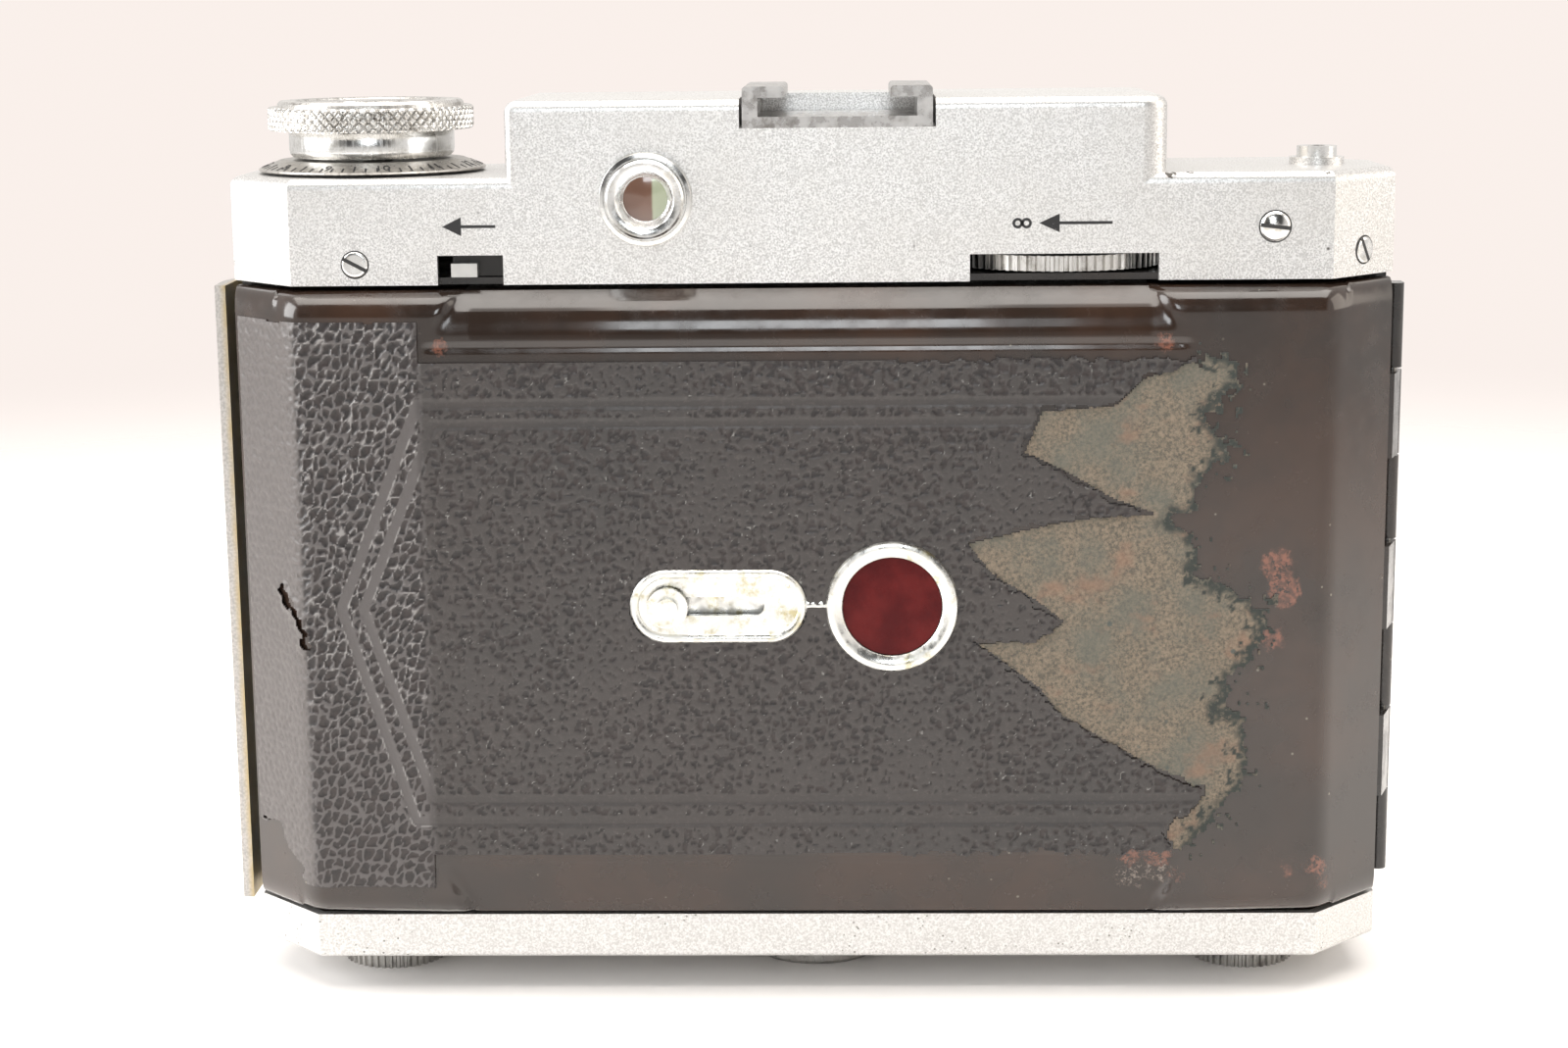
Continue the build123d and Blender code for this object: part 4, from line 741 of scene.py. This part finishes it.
def door_hide(material):
    """Leatherette on the door: grain, pressed double lines, torn right edge and worn corners."""
    X, Z = grid(-69.2, 48.0, 14.0, 84.4, 0.2)
    ends = X < PANEL_X0 - 0.6
    end = smooth01((PANEL_X0 - 0.2 - X) / 1.2)
    chamfer = smooth01((-60.6 - X) / 0.8)
    smoothed = value_noise(X, Z, 13, 3) * 0.6 + value_noise(X, Z, 6, 4) * 0.4
    worn = 0.95 + 0.35 * smooth01((Z - 60) / 18) - 0.75 * smooth01((smoothed - 0.5) / 0.2)
    worn = np.clip(worn, 0.45, 1.2)
    deep_c, pit_c, pit_rim_highlight = pits(X, Z, 1.0, 11, worn)
    deep_e, pit_e, end_ridge_highlight = mesh_grain(X - 0.30 * Z, Z, 1.12, 23)
    deep_f, pit_f, fold_ridge_highlight = mesh_grain(X * 1.35 + 0.35 * Z, Z, 0.95, 37)
    # Grain relief and painted highlights on the end panels grow weaker towards the bottom.
    low_end = 1 - 0.55 * smooth01((48 - Z) / 26)
    deep_e, pit_e, end_ridge_highlight = deep_e * low_end, pit_e, end_ridge_highlight * low_end
    deep = deep_c * (1 - end) + (deep_e * (1 - chamfer) + deep_f * chamfer * 0.6) * end
    pit = pit_c * (1 - end) + (pit_e * (1 - chamfer) + pit_f * 0.45 * chamfer) * end
    rim = pit_rim_highlight * (1 - end) * 0.8 + (end_ridge_highlight * (1 - chamfer) + fold_ridge_highlight * 0.45 * chamfer) * end
    # Painted highlights: on the end panels all ridges are painted bright, in the centre only the glints that
    # the noise lets through.
    glint = smooth01((value_noise(X, Z, 0.45, 51) - 0.62) / 0.2)
    rim = rim * np.where(end > 0.5, 1.0, glint)
    relief = (0.10 * (1 - end) + 0.19 * end) * deep
    near_out, near_in = path_gap(X, Z, LINE_OUT), path_gap(X, Z, LINE_IN)
    between = smooth01((near_out - 0.45) / 0.4) * smooth01((near_in - 0.45) / 0.4)
    # The edges of the pressed lines also get painted highlights.
    sides = hump(near_out - 0.62, 0.16) + hump(near_in - 0.62, 0.16)
    relief = relief * between + 0.13 * (1 - between) - 0.05 * sides
    pit = pit * between
    rim = np.maximum(rim * between, sides * (0.25 + 0.75 * end) * smooth01((value_noise(X, Z, 0.5,
                                                                                        57) - 0.4) / 0.3))
    ghost = np.abs(np.maximum(np.abs(X + 6.5) / 28.0, np.abs(Z - 49.0) / 10.5) - 1.0) * 12
    relief = relief + 0.04 * hump(ghost, 0.6)
    fine = value_noise(X, Z, 0.42, 31) * 0.02
    crease = 0.10 * hump(X - PANEL_X0 + 0.7, 0.35)
    Y = FACE_Y + door_depth(X, np.clip(Z, 20.5, 79.5)) - 0.5 + relief + fine + crease
    over = np.clip(Z - 81.5, 0, 3) * ends
    under = np.clip(17.0 - Z, 0, 3) * ends
    Y = Y + 0.035 * over**2 + 0.035 * under**2
    jag_x, jag_z = jagged(X, Z, (0.9, 1.1), (0.5, 0.5), 61)
    right_part = inside(np.where(X > 10, jag_x, X), np.where(X > 10, jag_z, Z), HIDE)
    wave = 0.35 * (value_noise(X, Z, 4.0, 71) - 0.5)
    left_part = ends & (Z > 14.6 + wave) & (Z < 84.1 + wave)
    keep = right_part | left_part
    keep &= np.hypot(X - RING_C[0], Z - RING_C[2]) > 7.7
    slot_half = (PLATE_HIGH[2] - PLATE_LOW[2]) / 2 - 0.2
    span = np.clip(X, PLATE_LOW[0] + slot_half, PLATE_HIGH[0] - slot_half)
    keep &= np.hypot(X - span, Z - PLATE_Z) > slot_half
    bare = [(-70, 13), (-62.6, 13), (-62.8, 16.4), (-64.5, 18.2), (-66.2, 21.4), (-70, 21.0)]
    keep &= ~inside(jag_x, jag_z, bare)
    crack = path_gap(jag_x, jag_z, [(-64.3, 51.6), (-63.2, 49.4), (-61.6, 47.6), (-60.9, 44.6)])
    keep &= crack > 0.3
    Y = Y - 0.25 * hump(crack - 0.5, 0.5) * (crack < 3)
    # The pit attribute drives the painted shade in pits and cells, rim the painted highlights, and end and
    # fold the painted light on the end panels and the chamfer.
    return skin("door_leather", X, Z, Y, keep, (0, 0.42, 0), material, "back_door",
                hide=("hide_door", "hide_end"), attributes={"pit": pit, "rim": rim, "end": end,
                                                            "fold": chamfer})


def door_residue(material):
    """Backing cloth and glue left where the leatherette is gone."""
    outline = TEAR + [(45.3, 79.5)] + CLOTH
    X, Z = grid(17.5, 55.5, 18.0, 81.8, 0.25)
    jag_x, jag_z = jagged(X, Z, (1.6, 1.7), (1.0, 0.6), 81)
    shift = smooth01((X - 40) / 6)
    keep = inside(X * (1 - shift) + jag_x * shift, Z * (1 - shift) + jag_z * shift, outline)
    crumbs = (path_gap(X, Z, CLOTH) < 2.6) & (value_noise(X, Z, 0.55, 91) > 0.70) & (X > 44.0) & (Z < 80)
    keep = keep | crumbs
    fuzz = 0.10 * value_noise(X, Z, 0.45, 95) + 0.06 * value_noise(X, Z, 1.6, 96)
    rim = 1 - smooth01((path_gap(jag_x, jag_z, CLOTH) - 0.5) / 1.3)
    rim = np.maximum(rim, crumbs * 1.0)
    Y = FACE_Y + door_depth(X, np.clip(Z, 20.5, 79.5)) - 0.10 - fuzz
    return skin("door_cloth", X, Z, Y, keep, (0, 0.12, 0), material, "back_door",
                hide=("glue_patch",), attributes={"rim": rim})


def flat_hide(name, x0, x1, z0, z1, y, seed, material, body, hide=(), radius=1.2):
    """Leatherette panel facing +Y."""
    X, Z = grid(x0, x1, z0, z1, 0.32)
    depth, pit, bright = pits(X, Z, 1.4, seed, np.full(X.shape, 1.0))
    depth = depth * 0.15
    dx = np.clip(np.maximum(x0 + radius - X, X - x1 + radius), 0, None)
    dz = np.clip(np.maximum(z0 + radius - Z, Z - z1 + radius), 0, None)
    keep = np.hypot(dx, dz) < radius + 0.05
    rim = np.clip(0.8 - np.minimum(np.minimum(X - x0, x1 - X), np.minimum(Z - z0, z1 - Z)), 0, 0.8)
    Y = y - depth - 0.25 * rim**2
    # The pit attribute drives painted shade in the dents and rim the painted highlights on their rims, at
    # half strength.
    return skin(name, X, Z, Y, keep, (0, -0.42, 0), material, body, hide=hide,
                attributes={"pit": pit, "rim": bright * 0.5})


# ------------------------------------------------------------------ detailed metal pieces
def knurled_knob(material):
    """Winding knob: diamond-knurled rim, bevelled edges and a raised cap with a sunk disc."""
    cx, cy, radius, z0, top = round_size("wind_knob")
    z1 = z0 + 2.8
    turns, rows = 66, 26
    steps = turns * 14
    A = np.linspace(0, 2 * pi, steps, endpoint=False)
    T = np.linspace(0, 1, rows)
    aa, tt = np.meshgrid(A, T)
    u = aa * turns / (2 * pi)
    v = tt * (z1 - z0) / (2 * pi * radius / turns) * 0.95
    cut_a = np.abs(((u + v) % 1.0) - 0.5) * 2
    cut_b = np.abs(((u - v) % 1.0) - 0.5) * 2
    groove = np.maximum(smooth01((cut_a - 0.55) / 0.45), smooth01((cut_b - 0.55) / 0.45))
    fade = smooth01(np.minimum(tt, 1 - tt) / 0.10)
    r = radius - 0.02 - 0.42 * groove * fade - 0.22 * (1 - fade)
    verts = np.stack([cx + r * np.cos(aa), cy + r * np.sin(aa), z0 + tt * (z1 - z0)], -1).reshape(-1, 3)
    faces = quads(rows, steps)
    faces.append(tuple(range(steps - 1, -1, -1)))
    faces.append(tuple(range((rows - 1) * steps, rows * steps)))
    cap = [(0.01, z1 - 0.4), (11.3, z1 - 0.4), (11.3, top - 0.3), (11.0, top), (9.4, top), (9.2, top - 0.15),
           (9.0, top - 0.3), (4.1, top - 0.3), (4.0, top - 0.1), (3.7, top), (0.01, top)]
    verts, faces = join_lists((verts, faces), lathe(cap, (cx, cy), "Z", 160))
    return finish_mesh("winding_knob", verts, faces, material, "winder", hide=("wind_knob",))


def drum_piece(material):
    cx, cy, r, low, high = round_size("wind_drum")
    profile = [(2.5, low), (r - 0.5, low), (r - 0.1, low + 0.4), (r, low + 0.9), (r, high - 0.35),
               (r - 0.25, high - 0.02), (2.5, high - 0.02), (2.5, low)]
    turned("winding_drum", profile, (cx, cy), "Z", 160, material, "winder", ("wind_drum",))


def dial_piece(material, black):
    """Conical dial with engraved ticks and plain numbers round its slope."""
    cx, cy, r, low, high = round_size("counter_dial")
    edge_z = low + 0.3
    profile = [(2.6, low), (r - 0.15, low), (r, low + 0.12), (r - 0.1, edge_z), (11.3, high - 0.02),
               (11.0, high), (2.6, high), (2.6, low)]
    turned("counter_dial_plate", profile, (cx, cy), "Z", 200, material, "counter",
           ("counter_dial",))
    marks = []
    tilt = atan2(high - edge_z, r - 0.1 - 11.3)
    for i in range(60):
        a = 2 * pi * i / 60
        span = 0.85 if i % 5 else 1.35
        marks.append(slope_box(cx, cy, a, r - 0.35 - span, r - 0.35, 0.11, r - 0.1, edge_z, tilt))
    verts, faces = join_lists(*marks)
    finish_mesh("counter_ticks", verts, faces, black, "counter", smooth=False)
    for i in range(12):
        a = 2 * pi * (i * 5 + 2.5) / 60
        curve = bpy.data.curves.new("digit", "FONT")
        curve.body = str(i + 1)
        curve.size = 1.9 * MM
        curve.extrude = 0.02 * MM
        curve.align_x = "CENTER"
        curve.align_y = "CENTER"
        text = added("digit", curve)
        middle = r - 1.2
        z = edge_z + (r - 0.1 - middle) * tan(tilt)
        out = Vector((cos(a), sin(a), 0))
        normal = (out * sin(tilt) + Vector((0, 0, 1)) * cos(tilt)).normalized()
        y_axis = (-out * cos(tilt) + Vector((0, 0, 1)) * sin(tilt)).normalized()
        x_axis = y_axis.cross(normal)
        place = Matrix((x_axis, y_axis, normal)).transposed().to_4x4()
        place.translation = Vector(((cx + middle * out.x) * MM, (cy + middle * out.y) * MM, z * MM))
        text.matrix_world = place
        bpy.context.view_layer.update()
        mesh = bpy.data.meshes.new_from_object(text.evaluated_get(bpy.context.evaluated_depsgraph_get()))
        mesh.transform(place)
        bpy.data.objects.remove(text)
        piece = added(f"counter_number_{i + 1}", mesh)
        mesh.materials.clear()
        mesh.materials.append(black)
        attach(piece, "counter")


def slope_box(cx, cy, a, r0, r1, half, edge_r, edge_z, tilt):
    """Thin bar lying along a cone's slope, at angle a."""
    verts = []
    for lift in (-0.02, 0.03):
        for r, s in ((r0, -half), (r0, half), (r1, half), (r1, -half)):
            z = edge_z + (edge_r - r) * tan(tilt) + lift
            verts.append((cx + r * cos(a) - s * sin(a), cy + r * sin(a) + s * cos(a), z))
    return verts, BOX_FACES


def eyepiece(material, glass):
    back = corner("top_cover")[0][1]
    out = EYE_LOW[1]
    c = (EYE_X / MM, EYE_Z)
    profile = [(3.4, back + 0.1), (5.55, back + 0.1), (5.55, back - 0.75), (5.35, back - 1.05),
               (4.95, back - 1.15),
               (4.85, back - 0.95), (4.72, back - 0.95), (4.62, back - 1.2), (4.6, out + 0.3),
               (4.35, out + 0.02), (3.55, out),
               (3.35, out + 0.12), (2.75, out + 1.5), (2.62, out + 1.6), (2.62, back + 0.6),
               (3.4, back + 0.6), (3.4, back + 0.1)]
    turned("eyepiece_rim", profile, c, "Y", 144, material, "camera_body", ("eyepiece_ring",))
    lens = [(0.01, out + 1.55), (1.3, out + 1.6), (2.6, out + 1.8), (2.6, out + 2.6), (0.01, out + 2.6)]
    turned("eyepiece_lens", lens, c, "Y", 96, glass, "camera_body", ("eyepiece_glass",))


def window_fittings(metal, red):
    """Red window's ring, its glass, the slider's plate with a rolled rim, and the neck between them."""
    low, high = corner("window_ring")
    c = (RING_C[0], RING_C[2])
    y = low[1]
    r = (high[0] - low[0]) / 2
    profile = [(6.0, y + 0.95), (r + 0.05, y + 1.05), (r + 0.05, y + 0.5), (r - 0.15, y + 0.15),
               (r - 0.55, y), (r - 1.1, y + 0.08),
               (r - 1.45, y + 0.28), (r - 1.75, y + 0.42), (6.0, y + 0.5), (6.0, y + 0.95)]
    turned("window_rim", profile, c, "Y", 160, metal, "back_door", ("window_ring",))
    glass_low, glass_high = corner("window_glass")
    disc = [(0.01, glass_low[1] - 0.02), (3.0, glass_low[1]), (5.9, glass_low[1] + 0.06),
            (5.9, glass_high[1]), (0.01, glass_high[1])]
    turned("window_red_glass", disc, c, "Y", 128, red, "back_door", ("window_glass",))
    x0, x1 = PLATE_LOW[0], PLATE_HIGH[0]
    zc = PLATE_Z
    half = (PLATE_HIGH[2] - PLATE_LOW[2]) / 2
    y = PLATE_LOW[1]
    section = [(half, y + 0.75), (half, y + 0.3), (half - 0.2, y + 0.06), (half - 0.5, y),
               (half - 0.8, y + 0.08),
               (half - 1.05, y + 0.3), (1.75, y + 0.34), (1.15, y + 0.36), (1.15, y + 0.75), (half, y + 0.75)]
    verts = []
    for reach, height in section:
        left, right = x0 + half, x1 - half
        if reach < 2.0:
            left, right = SLOT_X - 5.6, SLOT_X + 5.6
        for centre, start in ((left, pi / 2), (right, -pi / 2)):
            for i in range(ARC):
                a = start + pi * i / (ARC - 1)
                verts.append((centre + reach * cos(a), height, zc + reach * sin(a)))
    faces = quads(len(section), 2 * ARC)
    weld(finish_mesh("slider_plate", verts, faces, metal, "back_door", hide=("slot_plate",)))
    neck_x0, neck_x1 = x1 - 0.9, RING_C[0] - r + 0.9
    neck = []
    for x, w in ((neck_x0, 1.5), (neck_x0 + 1.1, 0.85), (neck_x1 - 1.1, 0.85), (neck_x1, 1.5)):
        for a, lift in ((-1, 0.0), (-0.6, 0.32), (0, 0.42), (0.6, 0.32), (1, 0.0)):
            neck.append((x, FACE_Y - 0.1 - lift, zc + a * w))
    faces = [(5 * k + i, 5 * k + i + 1, 5 * k + i + 6, 5 * k + i + 5) for k in range(3) for i in range(4)]
    faces += [(4, 3, 2, 1, 0), (15, 16, 17, 18, 19)]
    faces += [(5 * k, 5 * k + 5, 5 * k + 9, 5 * k + 4) for k in range(3)]
    finish_mesh("window_neck", neck, faces, metal, "back_door")


def arrow(name, tip_x, z, head, wing, tail_x, thick, y, black):
    outline = [(tip_x, z), (tip_x + head, z + wing), (tip_x + head, z + thick / 2), (tail_x, z + thick / 2),
               (tail_x, z - thick / 2), (tip_x + head, z - thick / 2), (tip_x + head, z - wing)]
    verts, faces = prism(outline, y - 0.025, y + 0.05)
    finish_mesh(name, verts, faces, black, "camera_body", smooth=False)


def infinity_mark(cx, z, y, black):
    parts = []
    for sign in (-1, 1):
        profile = [(0.30, y - 0.025), (0.62, y - 0.025), (0.62, y + 0.05), (0.30, y + 0.05),
                   (0.30, y - 0.025)]
        parts.append(lathe(profile, (cx + sign * 0.52, z), "Y", 40))
    verts, faces = join_lists(*parts)
    finish_mesh("focus_far_mark", verts, faces, black, "camera_body", smooth=False)


def slotted_screw(name, centre, normal, radius, height, dome, angle, metal, dark):
    """Screw head standing on a face: centre on the face, normal out of it, slot at an angle."""
    profile = [(0.01, -0.2), (radius, -0.2), (radius, height * 0.55), (radius * 0.96, height * 0.8)]
    profile += [(radius * (0.9 - 0.15 * i), height + dome * (1 - (0.9 - 0.15 * i) ** 2)) for i in range(6)]
    profile += [(0.01, height + dome)]
    verts, faces = lathe(profile, (0, 0), "Z", 64)
    rim = [(radius + 0.01, -0.01), (radius + 0.18, -0.01), (radius + 0.18, 0.03), (radius + 0.01, 0.03),
           (radius + 0.01, -0.01)]
    axis = Vector(normal).normalized()
    up = Vector((0, 0, 1))
    side = up.cross(axis).normalized()
    place = Matrix((side, axis.cross(side), axis)).transposed().to_4x4()
    place.translation = Vector(centre)
    placed = [place @ Vector(v) for v in verts]
    weld(finish_mesh(name, placed, faces, metal, "camera_body"))
    length = sqrt(max(radius**2 - 0.2**2, 0.1))
    bar = []
    for lift in (height * 0.2, height + dome + 0.02):
        for x, z in ((-length, -0.22), (length, -0.22), (length, 0.22), (-length, 0.22)):
            c, s = cos(angle), sin(angle)
            bar.append((x * c - z * s, x * s + z * c, lift))
    both_v, both_f = join_lists(lathe(rim, (0, 0), "Z", 64), (bar, BOX_FACES))
    both_v = [place @ Vector(v) for v in both_v]
    finish_mesh(name + "_slot", both_v, both_f, dark, "camera_body", smooth=False)


def bellows_piece(material):
    """Square folded bellows between the light box and the lens standard."""
    low, high = corner("bellows")
    zc = (low[2] + high[2]) / 2
    y0, y1 = low[1], high[1]
    folds, arc = 13, 6
    rings = []
    for i in range(2 * folds + 1):
        t = i / (2 * folds)
        outer = 30.3 - 6.0 * t
        half = outer if i % 2 == 0 else outer - 4.2
        loop = []
        for sx, sz, start in ((1, 1, 0), (-1, 1, 90), (-1, -1, 180), (1, -1, 270)):
            for k in range(arc + 1):
                a = radians(start + 90 * k / arc)
                r = 2.6 if i % 2 == 0 else 1.2
                loop.append((sx * (half - r) + r * cos(a), y0 + t * (y1 - y0),
                             zc + sz * (half - r) + r * sin(a)))
        rings.append(loop)
    n = len(rings[0])
    inner = [[(x * 0.985, y, zc + (z - zc) * 0.985) for x, y, z in loop] for loop in rings]
    verts = [p for loop in rings for p in loop] + [p for loop in inner for p in loop]
    off = len(rings) * n
    faces = quads(len(rings), n) + quads(len(rings), n, off, flip=True)
    last = (len(rings) - 1) * n
    for i in range(n):
        j = (i + 1) % n
        faces.append((j, i, off + i, off + j))
        faces.append((last + i, last + j, off + last + j, off + last + i))
    piece = finish_mesh("folded_bellows", verts, faces, material, None, smooth=False)
    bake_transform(piece)
    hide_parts("bellows")


# ------------------------------------------------------------------ camera, stage and light
def look():
    """Camera a little above, almost square to the back."""
    yaw, pitch, roll = -0.02651, 0.18918, -0.01017
    s, c = sin(yaw), cos(yaw)
    sp, cp = sin(pitch), cos(pitch)
    right = Vector((c, -s, 0))
    up = Vector((s * sp, c * sp, cp))
    ahead = Vector((s * cp, c * cp, -sp))
    cr, sr = cos(roll), sin(roll)
    right, up = right * cr + up * sr, up * cr - right * sr
    data = bpy.data.cameras.new("camera")
    data.lens = 63.04
    data.sensor_width = 36.0
    data.clip_start = 0.01
    data.clip_end = 50
    camera = added("camera", data)
    place = Matrix((right, up, -ahead)).transposed().to_4x4()
    place.translation = Vector((0.00528, -0.34155, 0.121))
    camera.matrix_world = place
    bpy.context.scene.camera = camera


def area(name, place, target, size, power, color=(1, 1, 1)):
    data = bpy.data.lights.new(name, "AREA")
    data.shape = "RECTANGLE"
    data.size, data.size_y = size
    data.energy = power
    data.color = color
    lamp = added(name, data)
    lamp.location = place
    lamp.rotation_euler = (Vector(target) - Vector(place)).to_track_quat("-Z", "Y").to_euler()


def studio():
    """Pale world that is dimmer where the chrome would mirror it, four soft lights and the paper floor."""
    scene = bpy.context.scene
    scene.view_settings.view_transform = "Standard"
    scene.view_settings.look = "None"
    world = bpy.data.worlds.new("studio")
    scene.world = world
    world.use_nodes = True
    world.node_tree.nodes.clear()
    w = Nodes(world.node_tree, "Generated")
    front = w.steps(w.axis("Y"), -0.2, -0.4)
    above = w.steps(w.axis("Z"), -0.02, 0.06)
    below = w.steps(w.axis("Z"), 0.86, 0.93, 1.0, 0.0)
    dark = w.times(front, above, below, w.band("X", (-0.72, -0.5), (0.5, 0.72)))
    strength = w.steps(dark, 0.0, 1.0, 0.85, 0.06, smooth=False)
    seen = w.node("Background", {"Color": (0.985, 0.90, 0.855, 1), "Strength": 0.97})
    lit = w.node("Background", {"Color": (1.0, 0.965, 0.93, 1), "Strength": strength})
    ray = w.node("LightPath", {}).outputs["Is Camera Ray"]
    mix = w.node("MixShader", {0: ray, 1: lit.outputs[0], 2: seen.outputs[0]})
    w.node("OutputWorld", {0: mix.outputs[0]})
    area("key_top", (0.0, -0.06, 0.85), (0, -0.02, 0.05), (1.1, 0.7), 11.0, (1.0, 0.955, 0.90))
    area("left_box", (-0.75, -0.22, 0.35), (0, 0, 0.06), (0.5, 0.6), 6.5)
    area("right_box", (0.8, -0.1, 0.35), (0, 0, 0.06), (0.5, 0.6), 1.9, (1.0, 0.90, 0.78))
    area("front_box", (0.0, -0.64, 0.33), (0, 0, 0.08), (0.17, 0.22), 0.9, (0.93, 0.97, 1.0))
    mesh = bpy.data.meshes.new("floor")
    radius, sides = 1.1, 96
    turns = [2 * pi * i / sides for i in range(sides)]
    mesh.from_pydata([(radius * cos(a), radius * sin(a), 0) for a in turns], [], [tuple(range(sides))])
    floor = added("floor", mesh)
    m = Material("floor_paper", (0.86, 0.84, 0.825), 0.0, 0.6)
    m.paint(m.mix(m.steps(m.noise(12, 3), 0.3, 0.7), (0.90, 0.885, 0.875), (0.885, 0.865, 0.85)))
    away = m.node("VectorMath", {0: m.coord}, operation="LENGTH")
    m.link(m.steps(away.outputs["Value"], 0.17, 0.62, 1.0, 0.0), "Alpha")
    mesh.materials.append(m.mat)


# ------------------------------------------------------------------ build
look()
studio()

SATIN = satin_chrome()
BRIGHT = bright_chrome("bright_chrome")
FITTING = bright_chrome("worn_plating", (0.78, 0.78, 0.75), (0.45, 0.40, 0.22), 0.45, 0.3)
NUB = nub_metal()
SHOE = bright_chrome("shoe_metal", (0.50, 0.49, 0.48), (0.20, 0.18, 0.16), 0.35, 0.28)
DRUM = turned_metal("turned_drum", (0.78, 0.78, 0.77), 0.22, (0.45, 0.44, 0.40))
KNURL = turned_metal("knurled_steel", (0.70, 0.69, 0.67), 0.3, (0.22, 0.20, 0.17))
STEEL = turned_metal("turned_steel", (0.50, 0.49, 0.47), 0.34)
DIAL = turned_metal("dial_metal", (0.55, 0.53, 0.50), 0.35, (0.25, 0.24, 0.22))
PLATE = blasted_plate()
LATCH = latch_metal()
ENAMEL = enamel("black_enamel", (0.021, 0.0145, 0.0115))
ENAMEL_PLAIN = enamel("body_enamel", (0.014, 0.0125, 0.012), chips=False, rough=0.25)
LEATHER = leather()
RESIDUE = residue()
RED = red_glass()
FINDER = painted_finder_view()
GLASS = coated_glass("coated_glass", (0.030, 0.028, 0.055))
WINDOW_GLASS = coated_glass("finder_front_glass", (0.05, 0.055, 0.06))
BLACK = matt_black("matt_black")
SHUTTER = matt_black("shutter_black", (0.022, 0.022, 0.022), 0.38)
INK = ink()
CLOTH_BLACK = bellows_cloth()

CAD_MATERIALS = {
    SATIN: ("top_cover", "release_collar"),
    BRIGHT: ("release_button", "finder_frames", "bed_button", "lens_barrel", "aperture_lever"),
    FITTING: ("window_blind",),
    NUB: ("release_nub",),
    SHOE: ("shoe",),
    PLATE: ("bottom_plate",),
    LATCH: ("latch_bar",),
    STEEL: ("spool_knob_left", "spool_knob_right", "wind_shaft", "spool_pivot", "hinge_pin", "bed_pin",
            "guide_pins",
            "roller_left", "roller_right", "struts_rear", "struts_front", "tripod_bush", "focus_post"),
    KNURL: ("focus_wheel", "speed_ring"),
    ENAMEL_PLAIN: ("light_box", "chamber_left", "chamber_right", "top_deck", "bottom_deck", "hinge_body",
                   "hinge_door", "bed"),
    BLACK: ("film_gate", "pressure_plate", "blind_guides", "lens_rear"),
    SHUTTER: ("shutter_case", "standard_plate"),
    WINDOW_GLASS: ("finder_glasses",),
    GLASS: ("lens_glass",),
}
for material, names in CAD_MATERIALS.items():
    for name in names:
        mesh = NODES[name].data
        if not mesh.materials:
            mesh.materials.append(material)
        for slot in NODES[name].material_slots:
            slot.material = material

door_piece(ENAMEL)
door_hide(LEATHER)
door_residue(RESIDUE)
knurled_knob(KNURL)
drum_piece(DRUM)
dial_piece(DIAL, INK)
eyepiece(BRIGHT, FINDER)
window_fittings(FITTING, RED)
bellows_piece(CLOTH_BLACK)

BACK = corner("top_cover")[0][1]
arrow("release_arrow", -43.3, 94.9, 2.25, 1.1, -37.0, 0.34, BACK, INK)
arrow("focus_arrow", 27.0, 94.8, 2.4, 1.1, 35.6, 0.34, BACK, INK)
infinity_mark(25.0, 94.8, BACK, INK)
for side, centre, normal, radius, height, dome, angle in (
        ("left", (-53.8, BACK, 90.5), (0, -1, 0), 1.5, 0.22, 0.0, -28),
        ("right", (54.6, BACK, 94.2), (0, -1, 0), 1.75, 0.25, 0.45, -7),
        ("corner", (65.8, -13.7, 91.0), (1, -1, 0), 1.55, 0.22, 0.0, -60)):
    slotted_screw("cover_screw_" + side, centre, normal, radius, height, dome, radians(angle), BRIGHT, BLACK)
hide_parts("cover_screws")

HIDE_LOW, HIDE_HIGH = corner("hide_front")
INNER_EDGE = 38.6
flat_hide("front_leather_right", INNER_EDGE, HIDE_HIGH[0], HIDE_LOW[2], HIDE_HIGH[2], HIDE_HIGH[1], 201,
          LEATHER,
          "camera_body", hide=("hide_front",))
flat_hide("front_leather_left", HIDE_LOW[0], -INNER_EDGE, HIDE_LOW[2], HIDE_HIGH[2], HIDE_HIGH[1], 211,
          LEATHER, "camera_body")
BED_LOW, BED_HIGH = corner("bed_hide")
flat_hide("bed_leather", BED_LOW[0], BED_HIGH[0], BED_LOW[2], BED_HIGH[2], BED_HIGH[1], 221, LEATHER,
          "front_bed",
          hide=("bed_hide",), radius=4.5)
